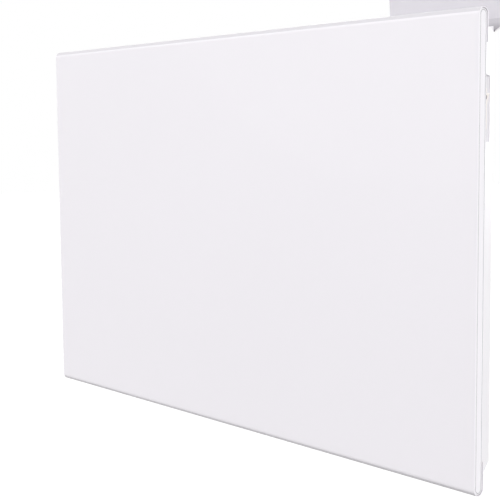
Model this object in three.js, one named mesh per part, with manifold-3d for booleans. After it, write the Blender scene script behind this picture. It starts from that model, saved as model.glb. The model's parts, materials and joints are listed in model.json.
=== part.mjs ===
import * as THREE from 'three';
import { mergeVertices } from 'three/addons/utils/BufferGeometryUtils.js';
import Module from 'manifold-3d';

// Convector panel heater on its wall bracket, in millimetres
// +X is to the right of someone facing the heater, its front faces -Y and +Z is up
// The origin is the centre of the bracket's back, on the wall

const wasm = await Module();
wasm.setup();

// Clearances and cutting room
const seatGap = 0.3;
const cutOverrun = 6;

// Front panel, one folded steel sheet with fully rounded long edges
const panelWidth = 640;
const panelHeight = 400;
const panelDepth = 12;
const panelReturn = 22;
const sheetThickness = 1;
const bracketPlaceShare = 0.175;
const endCapRecess = 0.6;
const endCapPlate = 2.5;
const endCapSkirt = 8;
const endCapWall = 1.5;
const capGrooveWidth = 0.8;
const capGrooveDepth = 0.4;
const capGrooveEnd = 4;
const capGroovePlaceShare = 0.5;

// Body behind the panel, narrower towards the wall
const bodyDepth = 61;
const bodyDrop = 12;
const bodyRise = 8;
const sideInset = 6;
const sideTaper = 36;
const wallGap = 14;

// Moulded side covers
const coverWall = 2.5;
const coverReach = 52;
const coverTongue = 8;
const coverTongueThickness = 1.5;
const coverTongueSetback = 9;

// Outlet grille, sloping down towards the wall
const grilleDrop = 47;
const grilleThickness = 2.2;
const grilleFlangeShare = 0.03;
const grilleLip = 4;
const grilleMargin = 5;
const grilleRib = 5;
const grilleRibShare = 0.28;
const slotPitch = 10.5;
const slotWidth = 4.3;
const slotEndSteps = 3;

// Rear casing and inner sheets
const casingLip = 12;
const inletSlotLength = 40;
const inletSlotWidth = 6;
const inletSlotPitch = 14;
const shieldThickness = 0.8;
const baffleFlange = 10;
const beadMargin = 75;
const beadWidth = 16;
const beadHeight = 1.5;
const beadFromEnd = 56.7;
const beadDropZ = 20;

// Control housing and fascia
const fasciaLength = 159;
const fasciaThickness = 2.5;
const fasciaFrontGap = 0.5;
const lipHeight = 0.3;
const lipWidth = 0.6;
const housingDepth = 78;
const housingWall = 2;
const ledgeWidth = 4;

// Keys, in two rows of three
const keySpacing = 2.2;
const keyClearance = 0.4;
const keyProud = 0.4;
const keyEdgeRound = 0.6;
const keyPitchShare = 0.292;
const keyFirstShare = 0.243;
const keyNearX = 43;
const keyRowSpan = 102;
const keyTravel = 0.8;
const keyFlangeOut = 0.9;
const keyFlangeThickness = 1;
const keyStemRadius = 2;
const keyStemLength = 3;
const keySleeveWall = 1;
const keySleeveDepth = 3.5;
const keySides = 18;

// Display and indicator lights
const displayLength = 22;
const displayWidthShare = 0.368;
const displayFromCornerX = 92;
const displayPlaceShare = 0.423;
const rimWidth = 1.5;
const rimChamfer = 0.9;
const windowThickness = 2.4;
const windowFlange = 1.5;
const windowFlangeThickness = 1;
const lightCount = 6;
const lightPitch = 11.25;
const lightRadius = 1;
const lightFromCornerX = 65;
const lightPlaceShare = 0.782;
const lightBarWidth = 4;
const lightBarHeight = 2.5;

// Control board, hung from bosses under the fascia
const boardThickness = 1.6;
const boardMargin = 4;
const boardNearX = 35;
const boardRearMargin = 6.7;
const bossRadius = 2.5;
const bossInsetX = 27;
const bossInsetY = 3;
const touchSwitchSize = 6;
const touchSwitchHeight = 1.2;

// Power board on posts in the housing
const powerBoardLength = 84;
const powerBoardMargin = 5.5;
const powerPostHeight = 6;
const powerPostRadius = 3;
const powerPostInset = 5;
const relaySize = 18;
const relayHeight = 15;
const capacitorRadius = 6;
const capacitorHeight = 18;
const transformerSize = 24;
const transformerHeight = 20;

// Flap over the controls, hinged along the rear edge
const flapThickness = 1.5;
const flapFrontGap = 1;
const flapLip = 1.2;
const flapOpenAngle = THREE.MathUtils.degToRad(86);
const hingeInset = 2.4;
const hingeTrough = 3.1;
const shelfReach = 0.7;
const lugWidth = 4;
const lugRadius = 2.8;
const knuckleRadius = 2.1;
const knuckleLength = 8;
const pinRadius = 1;
const pinInFlap = 6;
const pinInLug = 2.2;

// Rocker switch in a wedge-shaped finger recess
const recessLength = 25;
const recessTopDrop = 40;
const recessHeight = 56;
const recessStep = 1.2;
const bezelWidth = 15;
const bezelHeight = 35;
const bezelThickness = 1.8;
const switchBodyWidth = 12.6;
const switchBodyHeight = 31;
const switchBodyDepth = 20;
const switchWall = 0.8;
const switchCavityDepth = 9;
const rockerWidth = 10.2;
const rockerHalfHeight = 13.6;
const rockerCrown = 4;
const rockerValley = 2.8;
const rockerDepth = 4;
const rockerPivotRadius = 1.4;
const rockerPivotLength = 0.6;
const rockerTilt = THREE.MathUtils.degToRad(10);
const tabWidth = 5;
const tabHeight = 0.8;
const tabLength = 7;

// Side screws, countersunk near the front edge
const screwFromFront = 6;
const screwDrop = 46;
const screwHeadRadius = 3;
const screwHeadHeight = 1.8;
const screwShankRadius = 1.4;
const screwLength = 8;

// Heating element with crossed fins, carried by the end baffles
const elementRise = 72;
const elementFinReach = 38;
const elementFinThickness = 3;
const elementFinAngle = THREE.MathUtils.degToRad(24);
const elementHubRadius = 8;
const elementTubeRadius = 4;
const elementEndGap = 16;
const elementTubeReach = 8;
const bushWaist = 3;
const bushFlange = 2.5;
const bushFlangeThickness = 2;

// Thermal cut-out, room sensor and mains inlet
const cutoutRadius = 8;
const cutoutHeight = 6;
const cutoutPlateLength = 30;
const cutoutPlateWidth = 12;
const cutoutPlateThickness = 1;
const cutoutRise = 70;
const cutoutOffsetX = 60;
const sensorRadius = 2.5;
const sensorLength = 14;
const sensorHolderHeight = 16;
const sensorHolderWidth = 9;
const sensorHolderLength = 8;
const sensorOffsetX = 22;
const terminalLength = 34;
const terminalHeight = 16;
const terminalDepth = 14;
const terminalRise = 60;
const terminalWays = 3;
const terminalHoleRadius = 2.4;
const glandRadius = 7;
const glandBore = 4;
const glandFlange = 2.5;
const glandFlangeThickness = 2;
const glandInside = 5;
const glandFromRear = 27;
const glandFromSide = 14;

// Wall bracket and lower spacers
const bracketWidth = 300;
const bracketHeightShare = 0.14;
const bracketThickness = 2;
const bracketFlange = 10;
const hookFromEnd = 30;
const hookWidth = 28;
const hookRise = 10;
const hookThickness = 2;
const hookSlotHeight = 14;
const hookSideGap = 3;
const hookPlay = 1.3;
const bracketHoleRadius = 3;
const bracketHoleShares = [-0.43, -0.2, 0.2, 0.43];
const spacerFromEnd = 46.7;
const spacerRise = 26;
const spacerRadius = 9;
const spacerStemRadius = 3.5;
const spacerStemReach = 5;
const spacerBarb = 1;
const spacerEdge = 1.5;

const curveSteps = 8;
const roundSides = 16;
const plainSides = 12;
const smallSides = 8;

// Places worked out from the sizes above
const panelMiddleZ = -panelHeight * bracketPlaceShare;
const panelTop = panelMiddleZ + panelHeight / 2;
const panelBottom = panelMiddleZ - panelHeight / 2;
const panelRound = panelDepth / 2;
const rearY = -wallGap;
const lineY = rearY - bodyDepth;
const frontY = lineY - panelDepth;
const bodyFrontY = lineY + seatGap;
const bodyTop = panelTop - bodyDrop;
const bodyBottom = panelBottom + bodyRise;
const sideFrontX = panelWidth / 2 - sideInset;
const sideStretch = Math.hypot(sideTaper, bodyDepth) / bodyDepth;
const sideWallRun = coverWall * sideStretch;
const coverInnerX = sideFrontX - coverReach;
const casingHalf = coverInnerX - seatGap;
const beadX = casingHalf - beadFromEnd;
const beadLength = panelHeight - beadMargin * 2;
const spacerX = casingHalf - spacerFromEnd;
const bracketHeight = panelHeight * bracketHeightShare;
const hookX = bracketWidth / 2 - hookFromEnd;
const shieldFrontY = bodyFrontY + sheetThickness + seatGap;
const shieldRearY = shieldFrontY + shieldThickness;
const innerFrontY = shieldRearY + seatGap;
const innerRearY = rearY - sheetThickness - seatGap;
const grilleFlange = panelHeight * grilleFlangeShare;
const grilleAngle = Math.atan2(grilleDrop, bodyDepth);
const grilleSlopeLength = Math.hypot(grilleDrop, bodyDepth);
const grilleRearZ = bodyTop - grilleDrop;
const casingTop = grilleRearZ - grilleLip - seatGap;
const baffleX = coverInnerX - coverTongue - seatGap;
const hingeY = rearY - hingeInset;
const cornerX = sideX(bodyFrontY) - sideWallRun - seatGap;
const fasciaFarX = cornerX - fasciaLength;
const fasciaRearY = hingeY - hingeTrough;
const fasciaUnder = bodyTop - fasciaThickness;
const housingBottom = bodyTop - housingDepth;
const housingTop = fasciaUnder - seatGap;
const shelfTop = bodyTop - hingeTrough;
const shelfFrontY = fasciaRearY - shelfReach;
const recessY = (lineY + rearY - recessLength) / 2;
const recessRearY = recessY + recessLength;
const recessFloorX = sideX(recessRearY) - recessStep;
const fasciaDepth = fasciaRearY - lineY;
const keyPitch = fasciaDepth * keyPitchShare;
const keyRadius = (keyPitch - keySpacing) / 2;
const displayWidth = fasciaDepth * displayWidthShare;
const keyFlangeTop = -fasciaThickness - keySleeveDepth - seatGap;
const keyStemLow = keyFlangeTop - keyFlangeThickness - keyStemLength;
const boardDrop = keyTravel + seatGap + touchSwitchHeight - keyStemLow;
const recessTop = bodyTop - recessTopDrop;
const recessBottom = recessTop - recessHeight;
const switchY = (recessY + recessRearY) / 2;
const switchZ = (recessTop + recessBottom) / 2;
const hingeNearX = sideX(rearY) - lugWidth - seatGap;
const hingeFarX = fasciaFarX + lugWidth + seatGap;

// Half width of the body at a depth y
function sideX(y) {
  return sideFrontX - sideTaper * (y - lineY) / bodyDepth;
}

// Finishes
const finishes = {
  panelPaint: { color: 0xf1eef3, roughness: 0.38, metalness: 0 },
  casingPaint: { color: 0xeeebf0, roughness: 0.45, metalness: 0 },
  whiteMoulding: { color: 0xecebee, roughness: 0.5, metalness: 0 },
  fasciaMoulding: { color: 0xd0cfd4, roughness: 0.42, metalness: 0.1 },
  keyMoulding: { color: 0xdcdbe0, roughness: 0.45, metalness: 0 },
  rockerMoulding: { color: 0xfcf5f2, roughness: 0.35, metalness: 0 },
  smokedLens: { color: 0x2a2a34, roughness: 0.12, metalness: 0 },
  clearGuide: { color: 0x5a55a8, roughness: 0.2, metalness: 0 },
  darkPlastic: { color: 0x2b2c30, roughness: 0.6, metalness: 0 },
  board: { color: 0x2c6b45, roughness: 0.55, metalness: 0 },
  zincSteel: { color: 0xb9bcc0, roughness: 0.42, metalness: 0.9 },
  aluminium: { color: 0xc9cbce, roughness: 0.38, metalness: 0.95 },
  silicone: { color: 0x8c4a38, roughness: 0.7, metalness: 0 },
};

// Turns a closed three.js geometry into a solid that can be cut and joined
function solid(geometry) {
  geometry.deleteAttribute('normal');
  geometry.deleteAttribute('uv');
  const merged = mergeVertices(geometry);
  const vertProperties = Float32Array.from(merged.attributes.position.array);
  const index = merged.index.array;
  const triangles = [];
  let volume = 0;
  const a = new THREE.Vector3();
  const b = new THREE.Vector3();
  const c = new THREE.Vector3();
  for (let i = 0; i < index.length; i += 3) {
    const [p, q, r] = [index[i], index[i + 1], index[i + 2]];
    if (p === q || q === r || r === p) continue;
    triangles.push(p, q, r);
    a.fromArray(vertProperties, p * 3);
    b.fromArray(vertProperties, q * 3);
    c.fromArray(vertProperties, r * 3);
    volume += a.dot(b.cross(c));
  }
  const triVerts = Uint32Array.from(volume < 0 ? triangles.reverse() : triangles);
  return new wasm.Manifold(new wasm.Mesh({ numProp: 3, vertProperties, triVerts }));
}

// Turns a solid back into a named mesh with its finish
function piece(name, shape, finish) {
  const { numProp, vertProperties, triVerts } = shape.getMesh();
  const positions = new Float32Array((vertProperties.length / numProp) * 3);
  for (let i = 0; i < positions.length / 3; i += 1) {
    positions.set(vertProperties.subarray(i * numProp, i * numProp + 3), i * 3);
  }
  const geometry = new THREE.BufferGeometry();
  geometry.setAttribute('position', new THREE.BufferAttribute(positions, 3));
  geometry.setIndex(new THREE.BufferAttribute(Uint32Array.from(triVerts), 1));
  geometry.computeVertexNormals();
  const mesh = new THREE.Mesh(geometry, new THREE.MeshStandardMaterial(finish));
  mesh.name = name;
  return mesh;
}

function outline(points) {
  return new THREE.Shape(points.map(([u, v]) => new THREE.Vector2(u, v)));
}

function extruded(shape, length) {
  const options = { depth: length, bevelEnabled: false, curveSegments: curveSteps };
  return new THREE.ExtrudeGeometry(shape, options);
}

// A section in (y, z) drawn out along X
function alongX(shape, fromX, toX) {
  const [low, high] = [Math.min(fromX, toX), Math.max(fromX, toX)];
  const turn = new THREE.Matrix4().makeBasis(
    new THREE.Vector3(0, 1, 0),
    new THREE.Vector3(0, 0, 1),
    new THREE.Vector3(1, 0, 0),
  );
  return solid(extruded(shape, high - low).applyMatrix4(turn).translate(low, 0, 0));
}

// A section in (x, z) drawn out along Y
function alongY(shape, fromY, toY) {
  const geometry = extruded(shape, toY - fromY).rotateX(Math.PI / 2);
  return solid(geometry.translate(0, toY, 0));
}

// A plan outline in (x, y) drawn out along Z
function alongZ(shape, fromZ, toZ) {
  return solid(extruded(shape, toZ - fromZ).translate(0, 0, fromZ));
}

function block(fromX, toX, fromY, toY, fromZ, toZ) {
  const geometry = new THREE.BoxGeometry(Math.abs(toX - fromX), toY - fromY, toZ - fromZ);
  geometry.translate((fromX + toX) / 2, (fromY + toY) / 2, (fromZ + toZ) / 2);
  return solid(geometry);
}

// A block whose upper face is wider or narrower than its lower one
function flared(x, y, lowWidth, lowDepth, highWidth, highDepth, fromZ, toZ) {
  const geometry = new THREE.BoxGeometry(1, 1, toZ - fromZ);
  const corners = geometry.attributes.position;
  for (let i = 0; i < corners.count; i += 1) {
    const high = corners.getZ(i) > 0;
    corners.setX(i, corners.getX(i) * (high ? highWidth : lowWidth));
    corners.setY(i, corners.getY(i) * (high ? highDepth : lowDepth));
  }
  return solid(geometry.translate(x, y, (fromZ + toZ) / 2));
}

// A round bar between two points on a line along one axis
function bar(axis, radius, from, to, x, y, z, sides = roundSides) {
  const geometry = new THREE.CylinderGeometry(radius, radius, Math.abs(to - from), sides);
  if (axis === 'x') geometry.rotateZ(Math.PI / 2);
  if (axis === 'z') geometry.rotateX(Math.PI / 2);
  const middle = (from + to) / 2;
  const place = { x: [middle, y, z], y: [x, middle, z], z: [x, y, middle] }[axis];
  return solid(geometry.translate(...place));
}

// A profile of radii and heights spun about the +Y axis
function spun(points, sides) {
  return new THREE.LatheGeometry(points.map(([r, h]) => new THREE.Vector2(r, h)), sides);
}

function turned(points, sides = roundSides) {
  return solid(spun(points, sides));
}

function joined(...shapes) {
  return shapes.reduce((whole, shape) => whole.add(shape));
}

// A slot outline with round ends, its length along the second axis
function slotOutline(width, length) {
  const points = [];
  for (const end of [1, -1]) {
    for (let i = 0; i <= slotEndSteps; i += 1) {
      const angle = (end > 0 ? 0 : Math.PI) + Math.PI * i / slotEndSteps;
      const straight = end * (length - width) / 2;
      points.push([width / 2 * Math.cos(angle), straight + width / 2 * Math.sin(angle)]);
    }
  }
  return outline(points);
}

// Front panel: a C-shaped fold, open behind, rounded over the top and bottom
function panelSection() {
  const inner = panelRound - sheetThickness;
  const middleY = frontY + panelRound;
  const topZ = panelTop - panelRound;
  const lowZ = panelBottom + panelRound;
  const shape = new THREE.Shape();
  shape.moveTo(lineY, topZ - panelReturn);
  shape.lineTo(lineY, topZ);
  shape.absarc(middleY, topZ, panelRound, 0, Math.PI, false);
  shape.lineTo(frontY, lowZ);
  shape.absarc(middleY, lowZ, panelRound, Math.PI, Math.PI * 2, false);
  shape.lineTo(lineY, lowZ + panelReturn);
  shape.lineTo(lineY - sheetThickness, lowZ + panelReturn);
  shape.lineTo(lineY - sheetThickness, lowZ);
  shape.absarc(middleY, lowZ, inner, Math.PI * 2, Math.PI, true);
  shape.lineTo(frontY + sheetThickness, topZ);
  shape.absarc(middleY, topZ, inner, Math.PI, 0, true);
  shape.lineTo(lineY - sheetThickness, topZ - panelReturn);
  return shape;
}

// An upright outline with half-round ends, as a section in (y, z)
function stadium(radius) {
  const middleY = frontY + panelRound;
  const shape = new THREE.Shape();
  shape.absarc(middleY, panelTop - panelRound, radius, 0, Math.PI, false);
  shape.absarc(middleY, panelBottom + panelRound, radius, Math.PI, Math.PI * 2, false);
  return shape;
}

function endCap(side) {
  const radius = panelRound - sheetThickness - seatGap;
  const outerX = side * (panelWidth / 2 - endCapRecess);
  const plateX = outerX - side * endCapPlate;
  const skirtX = plateX - side * endCapSkirt;
  const grooveY = frontY + panelRound + radius * capGroovePlaceShare;
  const groove = block(
    outerX - side * capGrooveDepth, outerX + side * cutOverrun,
    grooveY - capGrooveWidth / 2, grooveY + capGrooveWidth / 2,
    panelBottom + panelRound + capGrooveEnd, panelTop - panelRound - capGrooveEnd,
  );
  return alongX(stadium(radius), outerX, skirtX)
    .subtract(alongX(stadium(radius - endCapWall), plateX, skirtX - side * cutOverrun))
    .subtract(groove);
}

// Plan of a side cover, from its open inner end to the slanted outer face
function coverPlan(side, fromY, toY, inset, innerX) {
  return outline([
    [side * innerX, fromY],
    [side * (sideX(fromY) - inset), fromY],
    [side * (sideX(toY) - inset), toY],
    [side * innerX, toY],
  ]);
}

// Shell shared by both side covers, open inwards and upwards
function coverShell(side, top, tongueTop) {
  const innerFront = bodyFrontY + coverWall;
  const innerRear = rearY - coverWall;
  const outer = alongZ(coverPlan(side, bodyFrontY, rearY, 0, coverInnerX), bodyBottom, top);
  const openX = coverInnerX - cutOverrun;
  const hollow = coverPlan(side, innerFront, innerRear, sideWallRun, openX);
  const floorZ = bodyBottom + coverWall;
  const shell = outer.subtract(alongZ(hollow, floorZ, top + cutOverrun));
  const tongueRear = rearY - sheetThickness - seatGap;
  const tongueLow = bodyBottom + sheetThickness + seatGap;
  const [tongueFromX, tongueToX] = [coverInnerX - coverTongue, coverInnerX + coverTongue / 2];
  const rearTongue = block(
    side * tongueFromX, side * tongueToX,
    tongueRear - coverTongueThickness, tongueRear,
    tongueLow, tongueTop,
  );
  const lowTongue = block(
    side * tongueFromX, side * tongueToX,
    lineY + coverTongueSetback, tongueRear,
    tongueLow, tongueLow + coverTongueThickness,
  );
  return joined(shell, rearTongue, lowTongue);
}

// A countersunk screw or, opened by a clearance, the hole that it sits in
function screwForm(clearance, length, headTop) {
  return spun([
    [0, -length],
    [screwShankRadius + clearance, -length],
    [screwShankRadius + clearance, -screwHeadHeight],
    [screwHeadRadius + clearance, 0],
    [screwHeadRadius + clearance, headTop],
    [0, headTop],
  ], plainSides);
}

function screwPlace(side) {
  const y = lineY + screwFromFront;
  const tilt = Math.atan2(sideTaper, bodyDepth);
  const position = new THREE.Vector3(side * sideX(y), y, bodyTop - screwDrop);
  const rotation = new THREE.Euler(0, 0, side * (tilt - Math.PI / 2));
  return { position, rotation };
}

function screwHole(side) {
  const { position, rotation } = screwPlace(side);
  const geometry = screwForm(seatGap, screwLength + cutOverrun, cutOverrun);
  geometry.applyMatrix4(new THREE.Matrix4().makeRotationFromEuler(rotation));
  return solid(geometry.translate(position.x, position.y, position.z));
}

// Left cover: its top edge follows the slope of the grille
function leftSideCover() {
  const shell = coverShell(-1, casingTop, casingTop - seatGap);
  const wall = alongZ(outline([
    [-sideX(bodyFrontY), bodyFrontY],
    [-sideX(rearY), rearY],
    [sideWallRun - sideX(rearY), rearY],
    [sideWallRun - sideX(bodyFrontY), bodyFrontY],
  ]), bodyBottom, bodyTop);
  const flangeTop = bodyTop - grilleFlange - seatGap;
  const frontFlange = alongZ(
    coverPlan(-1, bodyFrontY, bodyFrontY + coverWall, 0, coverInnerX), bodyBottom, flangeTop,
  );
  const aboveSlope = alongX(outline([
    [lineY, bodyTop],
    [rearY + cutOverrun, bodyTop - grilleDrop * (bodyDepth + cutOverrun) / bodyDepth],
    [rearY + cutOverrun, bodyTop + cutOverrun],
    [lineY, bodyTop + cutOverrun],
  ]), -sideFrontX - cutOverrun, 0);
  return joined(shell, wall, frontFlange).subtract(aboveSlope).subtract(screwHole(-1));
}

// The floor of the trough that the flap's rolled edge turns in
function hingeShelf(fromX, toX) {
  return block(fromX, toX, shelfFrontY, rearY, shelfTop - housingWall, shelfTop);
}

// A rounded lug about the hinge axis, standing on the shelf, with a blind bore for the pin
function hingeLug(fromX, toX, boreFrom, boreTo) {
  const shape = new THREE.Shape();
  shape.moveTo(hingeY + lugRadius, shelfTop - housingWall);
  shape.lineTo(hingeY + lugRadius, bodyTop);
  shape.absarc(hingeY, bodyTop, lugRadius, 0, Math.PI, false);
  shape.lineTo(hingeY - lugRadius, shelfTop - housingWall);
  const lowZ = shelfTop - housingWall;
  const highZ = bodyTop + lugRadius + cutOverrun;
  const room = block(fromX, toX, shelfFrontY, rearY, lowZ, highZ);
  const bore = bar('x', pinRadius + seatGap, boreFrom, boreTo, 0, hingeY, bodyTop);
  return alongX(shape, fromX, toX).intersect(room).subtract(bore);
}

// Right cover: slanted wall with the finger recess, the fascia's ledge and the near hinge lug
function rightSideCover() {
  const shell = coverShell(1, housingTop, housingBottom - seatGap);
  const rim = alongZ(outline([
    [sideX(bodyFrontY), bodyFrontY],
    [sideX(rearY), rearY],
    [sideX(rearY) - sideWallRun, rearY],
    [sideX(bodyFrontY) - sideWallRun, bodyFrontY],
  ]), bodyBottom, bodyTop);
  const ledge = alongZ(outline([
    [sideX(bodyFrontY) - sideWallRun, bodyFrontY],
    [sideX(rearY) - sideWallRun, rearY],
    [sideX(rearY) - sideWallRun - ledgeWidth, rearY],
    [sideX(bodyFrontY) - sideWallRun - ledgeWidth, bodyFrontY],
  ]), housingTop - coverWall, housingTop);
  const outer = alongZ(coverPlan(1, bodyFrontY, rearY, 0, coverInnerX), bodyBottom, bodyTop + lugRadius);
  const recessBlock = block(
    recessFloorX - coverWall, sideFrontX,
    recessY - coverWall, recessRearY + coverWall,
    recessBottom - coverWall, recessTop + coverWall,
  );
  const recessRoom = block(
    recessFloorX, sideFrontX + cutOverrun, recessY, recessRearY, recessBottom, recessTop,
  );
  const halfBody = switchBodyWidth / 2 + seatGap;
  const halfTall = switchBodyHeight / 2 + seatGap;
  const switchHole = block(
    recessFloorX - coverWall - cutOverrun, recessFloorX + cutOverrun,
    switchY - halfBody, switchY + halfBody,
    switchZ - halfTall, switchZ + halfTall,
  );
  const troughRoom = block(
    coverInnerX - cutOverrun, sideFrontX, fasciaRearY, rearY + cutOverrun, shelfTop, bodyTop + cutOverrun,
  );
  const shelf = hingeShelf(coverInnerX, sideFrontX).intersect(outer);
  const boreEnd = hingeNearX + pinInLug + seatGap;
  const lug = hingeLug(hingeNearX + seatGap, sideFrontX, hingeNearX, boreEnd).intersect(outer);
  const glandHole = bar(
    'z', glandRadius + seatGap, bodyBottom - cutOverrun, bodyBottom + coverWall + cutOverrun,
    glandX(), glandY(), 0,
  );
  return joined(shell, rim, ledge, recessBlock.intersect(outer))
    .subtract(recessRoom)
    .subtract(switchHole)
    .subtract(troughRoom)
    .subtract(screwHole(1))
    .subtract(glandHole)
    .add(shelf)
    .add(lug);
}

function glandY() {
  return rearY - glandFromRear;
}

function glandX() {
  return sideX(glandY()) - sideWallRun - glandFromSide;
}

// Outlet grille: a sloping plate with flanges down both long edges
function outletGrille() {
  const drop = grilleThickness / Math.cos(grilleAngle);
  const slopeZ = (y) => bodyTop - grilleDrop * (y - lineY) / bodyDepth;
  const lipZ = grilleRearZ - grilleLip;
  const rearInY = innerRearY - grilleThickness;
  const frontInY = bodyFrontY + grilleThickness;
  const section = outline([
    [bodyFrontY, slopeZ(bodyFrontY)],
    [rearY, slopeZ(rearY)],
    [rearY, lipZ],
    [rearInY, lipZ],
    [rearInY, slopeZ(rearInY) - drop],
    [frontInY, slopeZ(frontInY) - drop],
    [frontInY, bodyTop - grilleFlange],
    [bodyFrontY, bodyTop - grilleFlange],
  ]);
  const farX = fasciaFarX - seatGap;
  const endInset = sideWallRun + seatGap;
  const plan = outline([
    [farX, bodyFrontY],
    [farX, rearY],
    [endInset - sideX(rearY), rearY],
    [endInset - sideX(bodyFrontY), bodyFrontY],
  ]);
  const body = alongX(section, -sideFrontX, farX)
    .intersect(alongZ(plan, casingTop - cutOverrun, bodyTop + cutOverrun));
  const flange = block(-baffleX, farX, rearInY, innerRearY, lipZ - grilleFlange, lipZ + grilleThickness);
  return body.add(flange).subtract(grilleSlots(farX, endInset));
}

// Straight slots across the slope, in two rows either side of a solid rib
function grilleSlots(farX, endInset) {
  const ribAt = grilleSlopeLength * grilleRibShare;
  const rows = [
    [grilleMargin, ribAt - grilleRib / 2],
    [ribAt + grilleRib / 2, grilleSlopeLength - grilleMargin],
  ];
  const leftEnd = endInset - sideX(bodyFrontY) + grilleMargin;
  const count = Math.floor((farX - grilleMargin - leftEnd) / slotPitch);
  const cuts = [];
  for (let i = 0; i < count; i += 1) {
    const x = farX - grilleMargin - slotWidth / 2 - i * slotPitch;
    const fromEnd = sideFrontX - endInset - grilleMargin + x - slotWidth / 2;
    const slantY = lineY + fromEnd * bodyDepth / sideTaper;
    const limit = (slantY - lineY) / Math.cos(grilleAngle);
    for (const [from, to] of rows) {
      const end = Math.min(to, limit);
      if (end - from < slotWidth * 2) continue;
      const middle = (from + end) / 2;
      const depth = grilleThickness + seatGap;
      const cut = extruded(slotOutline(slotWidth, end - from), depth + cutOverrun);
      cut.translate(0, 0, -depth).rotateX(-grilleAngle);
      const y = lineY + middle * Math.cos(grilleAngle);
      cuts.push(solid(cut.translate(x, y, bodyTop - middle * Math.sin(grilleAngle))));
    }
  }
  return joined(...cuts);
}

// Rear casing: back wall, slotted floor and an upturned front lip from one sheet
function rearCasing() {
  const lowIn = bodyBottom + sheetThickness;
  const section = outline([
    [bodyFrontY, bodyBottom],
    [rearY, bodyBottom],
    [rearY, casingTop],
    [rearY - sheetThickness, casingTop],
    [rearY - sheetThickness, lowIn],
    [bodyFrontY + sheetThickness, lowIn],
    [bodyFrontY + sheetThickness, bodyBottom + casingLip],
    [bodyFrontY, bodyBottom + casingLip],
  ]);
  let casing = alongX(section, -casingHalf, casingHalf);
  const floorY = (bodyFrontY + rearY) / 2;
  const reach = baffleX - inletSlotPitch;
  const count = Math.floor(reach / inletSlotPitch);
  const cuts = [];
  for (let i = -count; i <= count; i += 1) {
    const cut = extruded(slotOutline(inletSlotWidth, inletSlotLength), sheetThickness + cutOverrun);
    cuts.push(solid(cut.translate(i * inletSlotPitch, floorY, bodyBottom - cutOverrun / 2)));
  }
  for (const side of [-1, 1]) {
    const halfSlot = hookWidth / 2 + hookSideGap;
    const slotTop = bracketHeight / 2 + seatGap;
    const x = side * hookX;
    cuts.push(block(
      x - halfSlot, x + halfSlot,
      rearY - sheetThickness - cutOverrun, rearY + cutOverrun,
      slotTop - hookSlotHeight, slotTop,
    ));
    const hole = bar(
      'y', spacerStemRadius + seatGap, rearY - cutOverrun, rearY + cutOverrun,
      side * spacerX, 0, bodyBottom + spacerRise,
    );
    cuts.push(hole);
    casing = pressedBead(casing, side * beadX, panelMiddleZ - beadDropZ);
  }
  return casing.subtract(joined(...cuts));
}

// A stiffening bead pressed outwards, hollow behind
function pressedBead(sheet, x, z) {
  const place = (shape, from, to) => {
    const geometry = extruded(shape, to - from).rotateX(Math.PI / 2);
    return solid(geometry.translate(x, to, z));
  };
  const narrow = beadWidth - sheetThickness * 2;
  const short = beadLength - sheetThickness * 2;
  const raised = place(slotOutline(beadWidth, beadLength), rearY - sheetThickness, rearY + beadHeight);
  const hollowTo = rearY + beadHeight - sheetThickness;
  const hollow = place(slotOutline(narrow, short), rearY - sheetThickness - cutOverrun, hollowTo);
  return sheet.add(raised).subtract(hollow);
}

// Inner front sheet that keeps the heat off the panel
function heatShield() {
  const section = outline([
    [shieldFrontY, bodyBottom + sheetThickness + seatGap],
    [shieldRearY, bodyBottom + sheetThickness + seatGap],
    [shieldRearY, bodyTop - grilleFlange - seatGap],
    [shieldFrontY, bodyTop - grilleFlange - seatGap],
  ]);
  return alongX(section, -casingHalf, casingHalf);
}

const elementY = (innerFrontY + innerRearY) / 2;
const elementZ = bodyBottom + elementRise;
const bushRadius = elementTubeRadius + seatGap + bushWaist;

// End baffle: an upright channel that closes the duct and carries one end of the element
function endBaffle(side, top) {
  const outerX = side * baffleX;
  const innerX = side * (baffleX - shieldThickness);
  const flangeX = side * (baffleX - baffleFlange);
  const low = bodyBottom + sheetThickness + seatGap;
  const [fromY, toY] = [innerFrontY, innerRearY];
  const web = block(outerX, innerX, fromY, toY, low, top);
  const front = block(outerX, flangeX, fromY, fromY + shieldThickness, low, top);
  const rear = block(outerX, flangeX, toY - shieldThickness, toY, low, top);
  const holeFrom = side * (baffleX + cutOverrun);
  const holeTo = side * (baffleX - shieldThickness - cutOverrun);
  const hole = bar('x', bushRadius + seatGap, holeFrom, holeTo, 0, elementY, elementZ);
  return joined(web, front, rear).subtract(hole);
}

function leftBaffle() {
  const lip = grilleFlange + grilleLip + cutOverrun;
  return endBaffle(-1, grilleRearZ - lip);
}

function rightBaffle() {
  return endBaffle(1, housingBottom - seatGap);
}

// Silicone bush with a groove that sits in the baffle
function elementBush(side) {
  const bore = elementTubeRadius + seatGap;
  const flange = bushRadius + bushFlange;
  const groove = shieldThickness / 2 + seatGap;
  const end = groove + bushFlangeThickness;
  const shape = turned([
    [bore, -end],
    [flange, -end],
    [flange, -groove],
    [bushRadius, -groove],
    [bushRadius, groove],
    [flange, groove],
    [flange, end],
    [bore, end],
    [bore, -end],
  ], plainSides);
  const mesh = piece(side < 0 ? 'element_bush_left' : 'element_bush_right', shape, finishes.silicone);
  mesh.rotation.z = Math.PI / 2;
  mesh.position.set(side * (baffleX - shieldThickness / 2), elementY, elementZ);
  return mesh;
}

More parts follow.
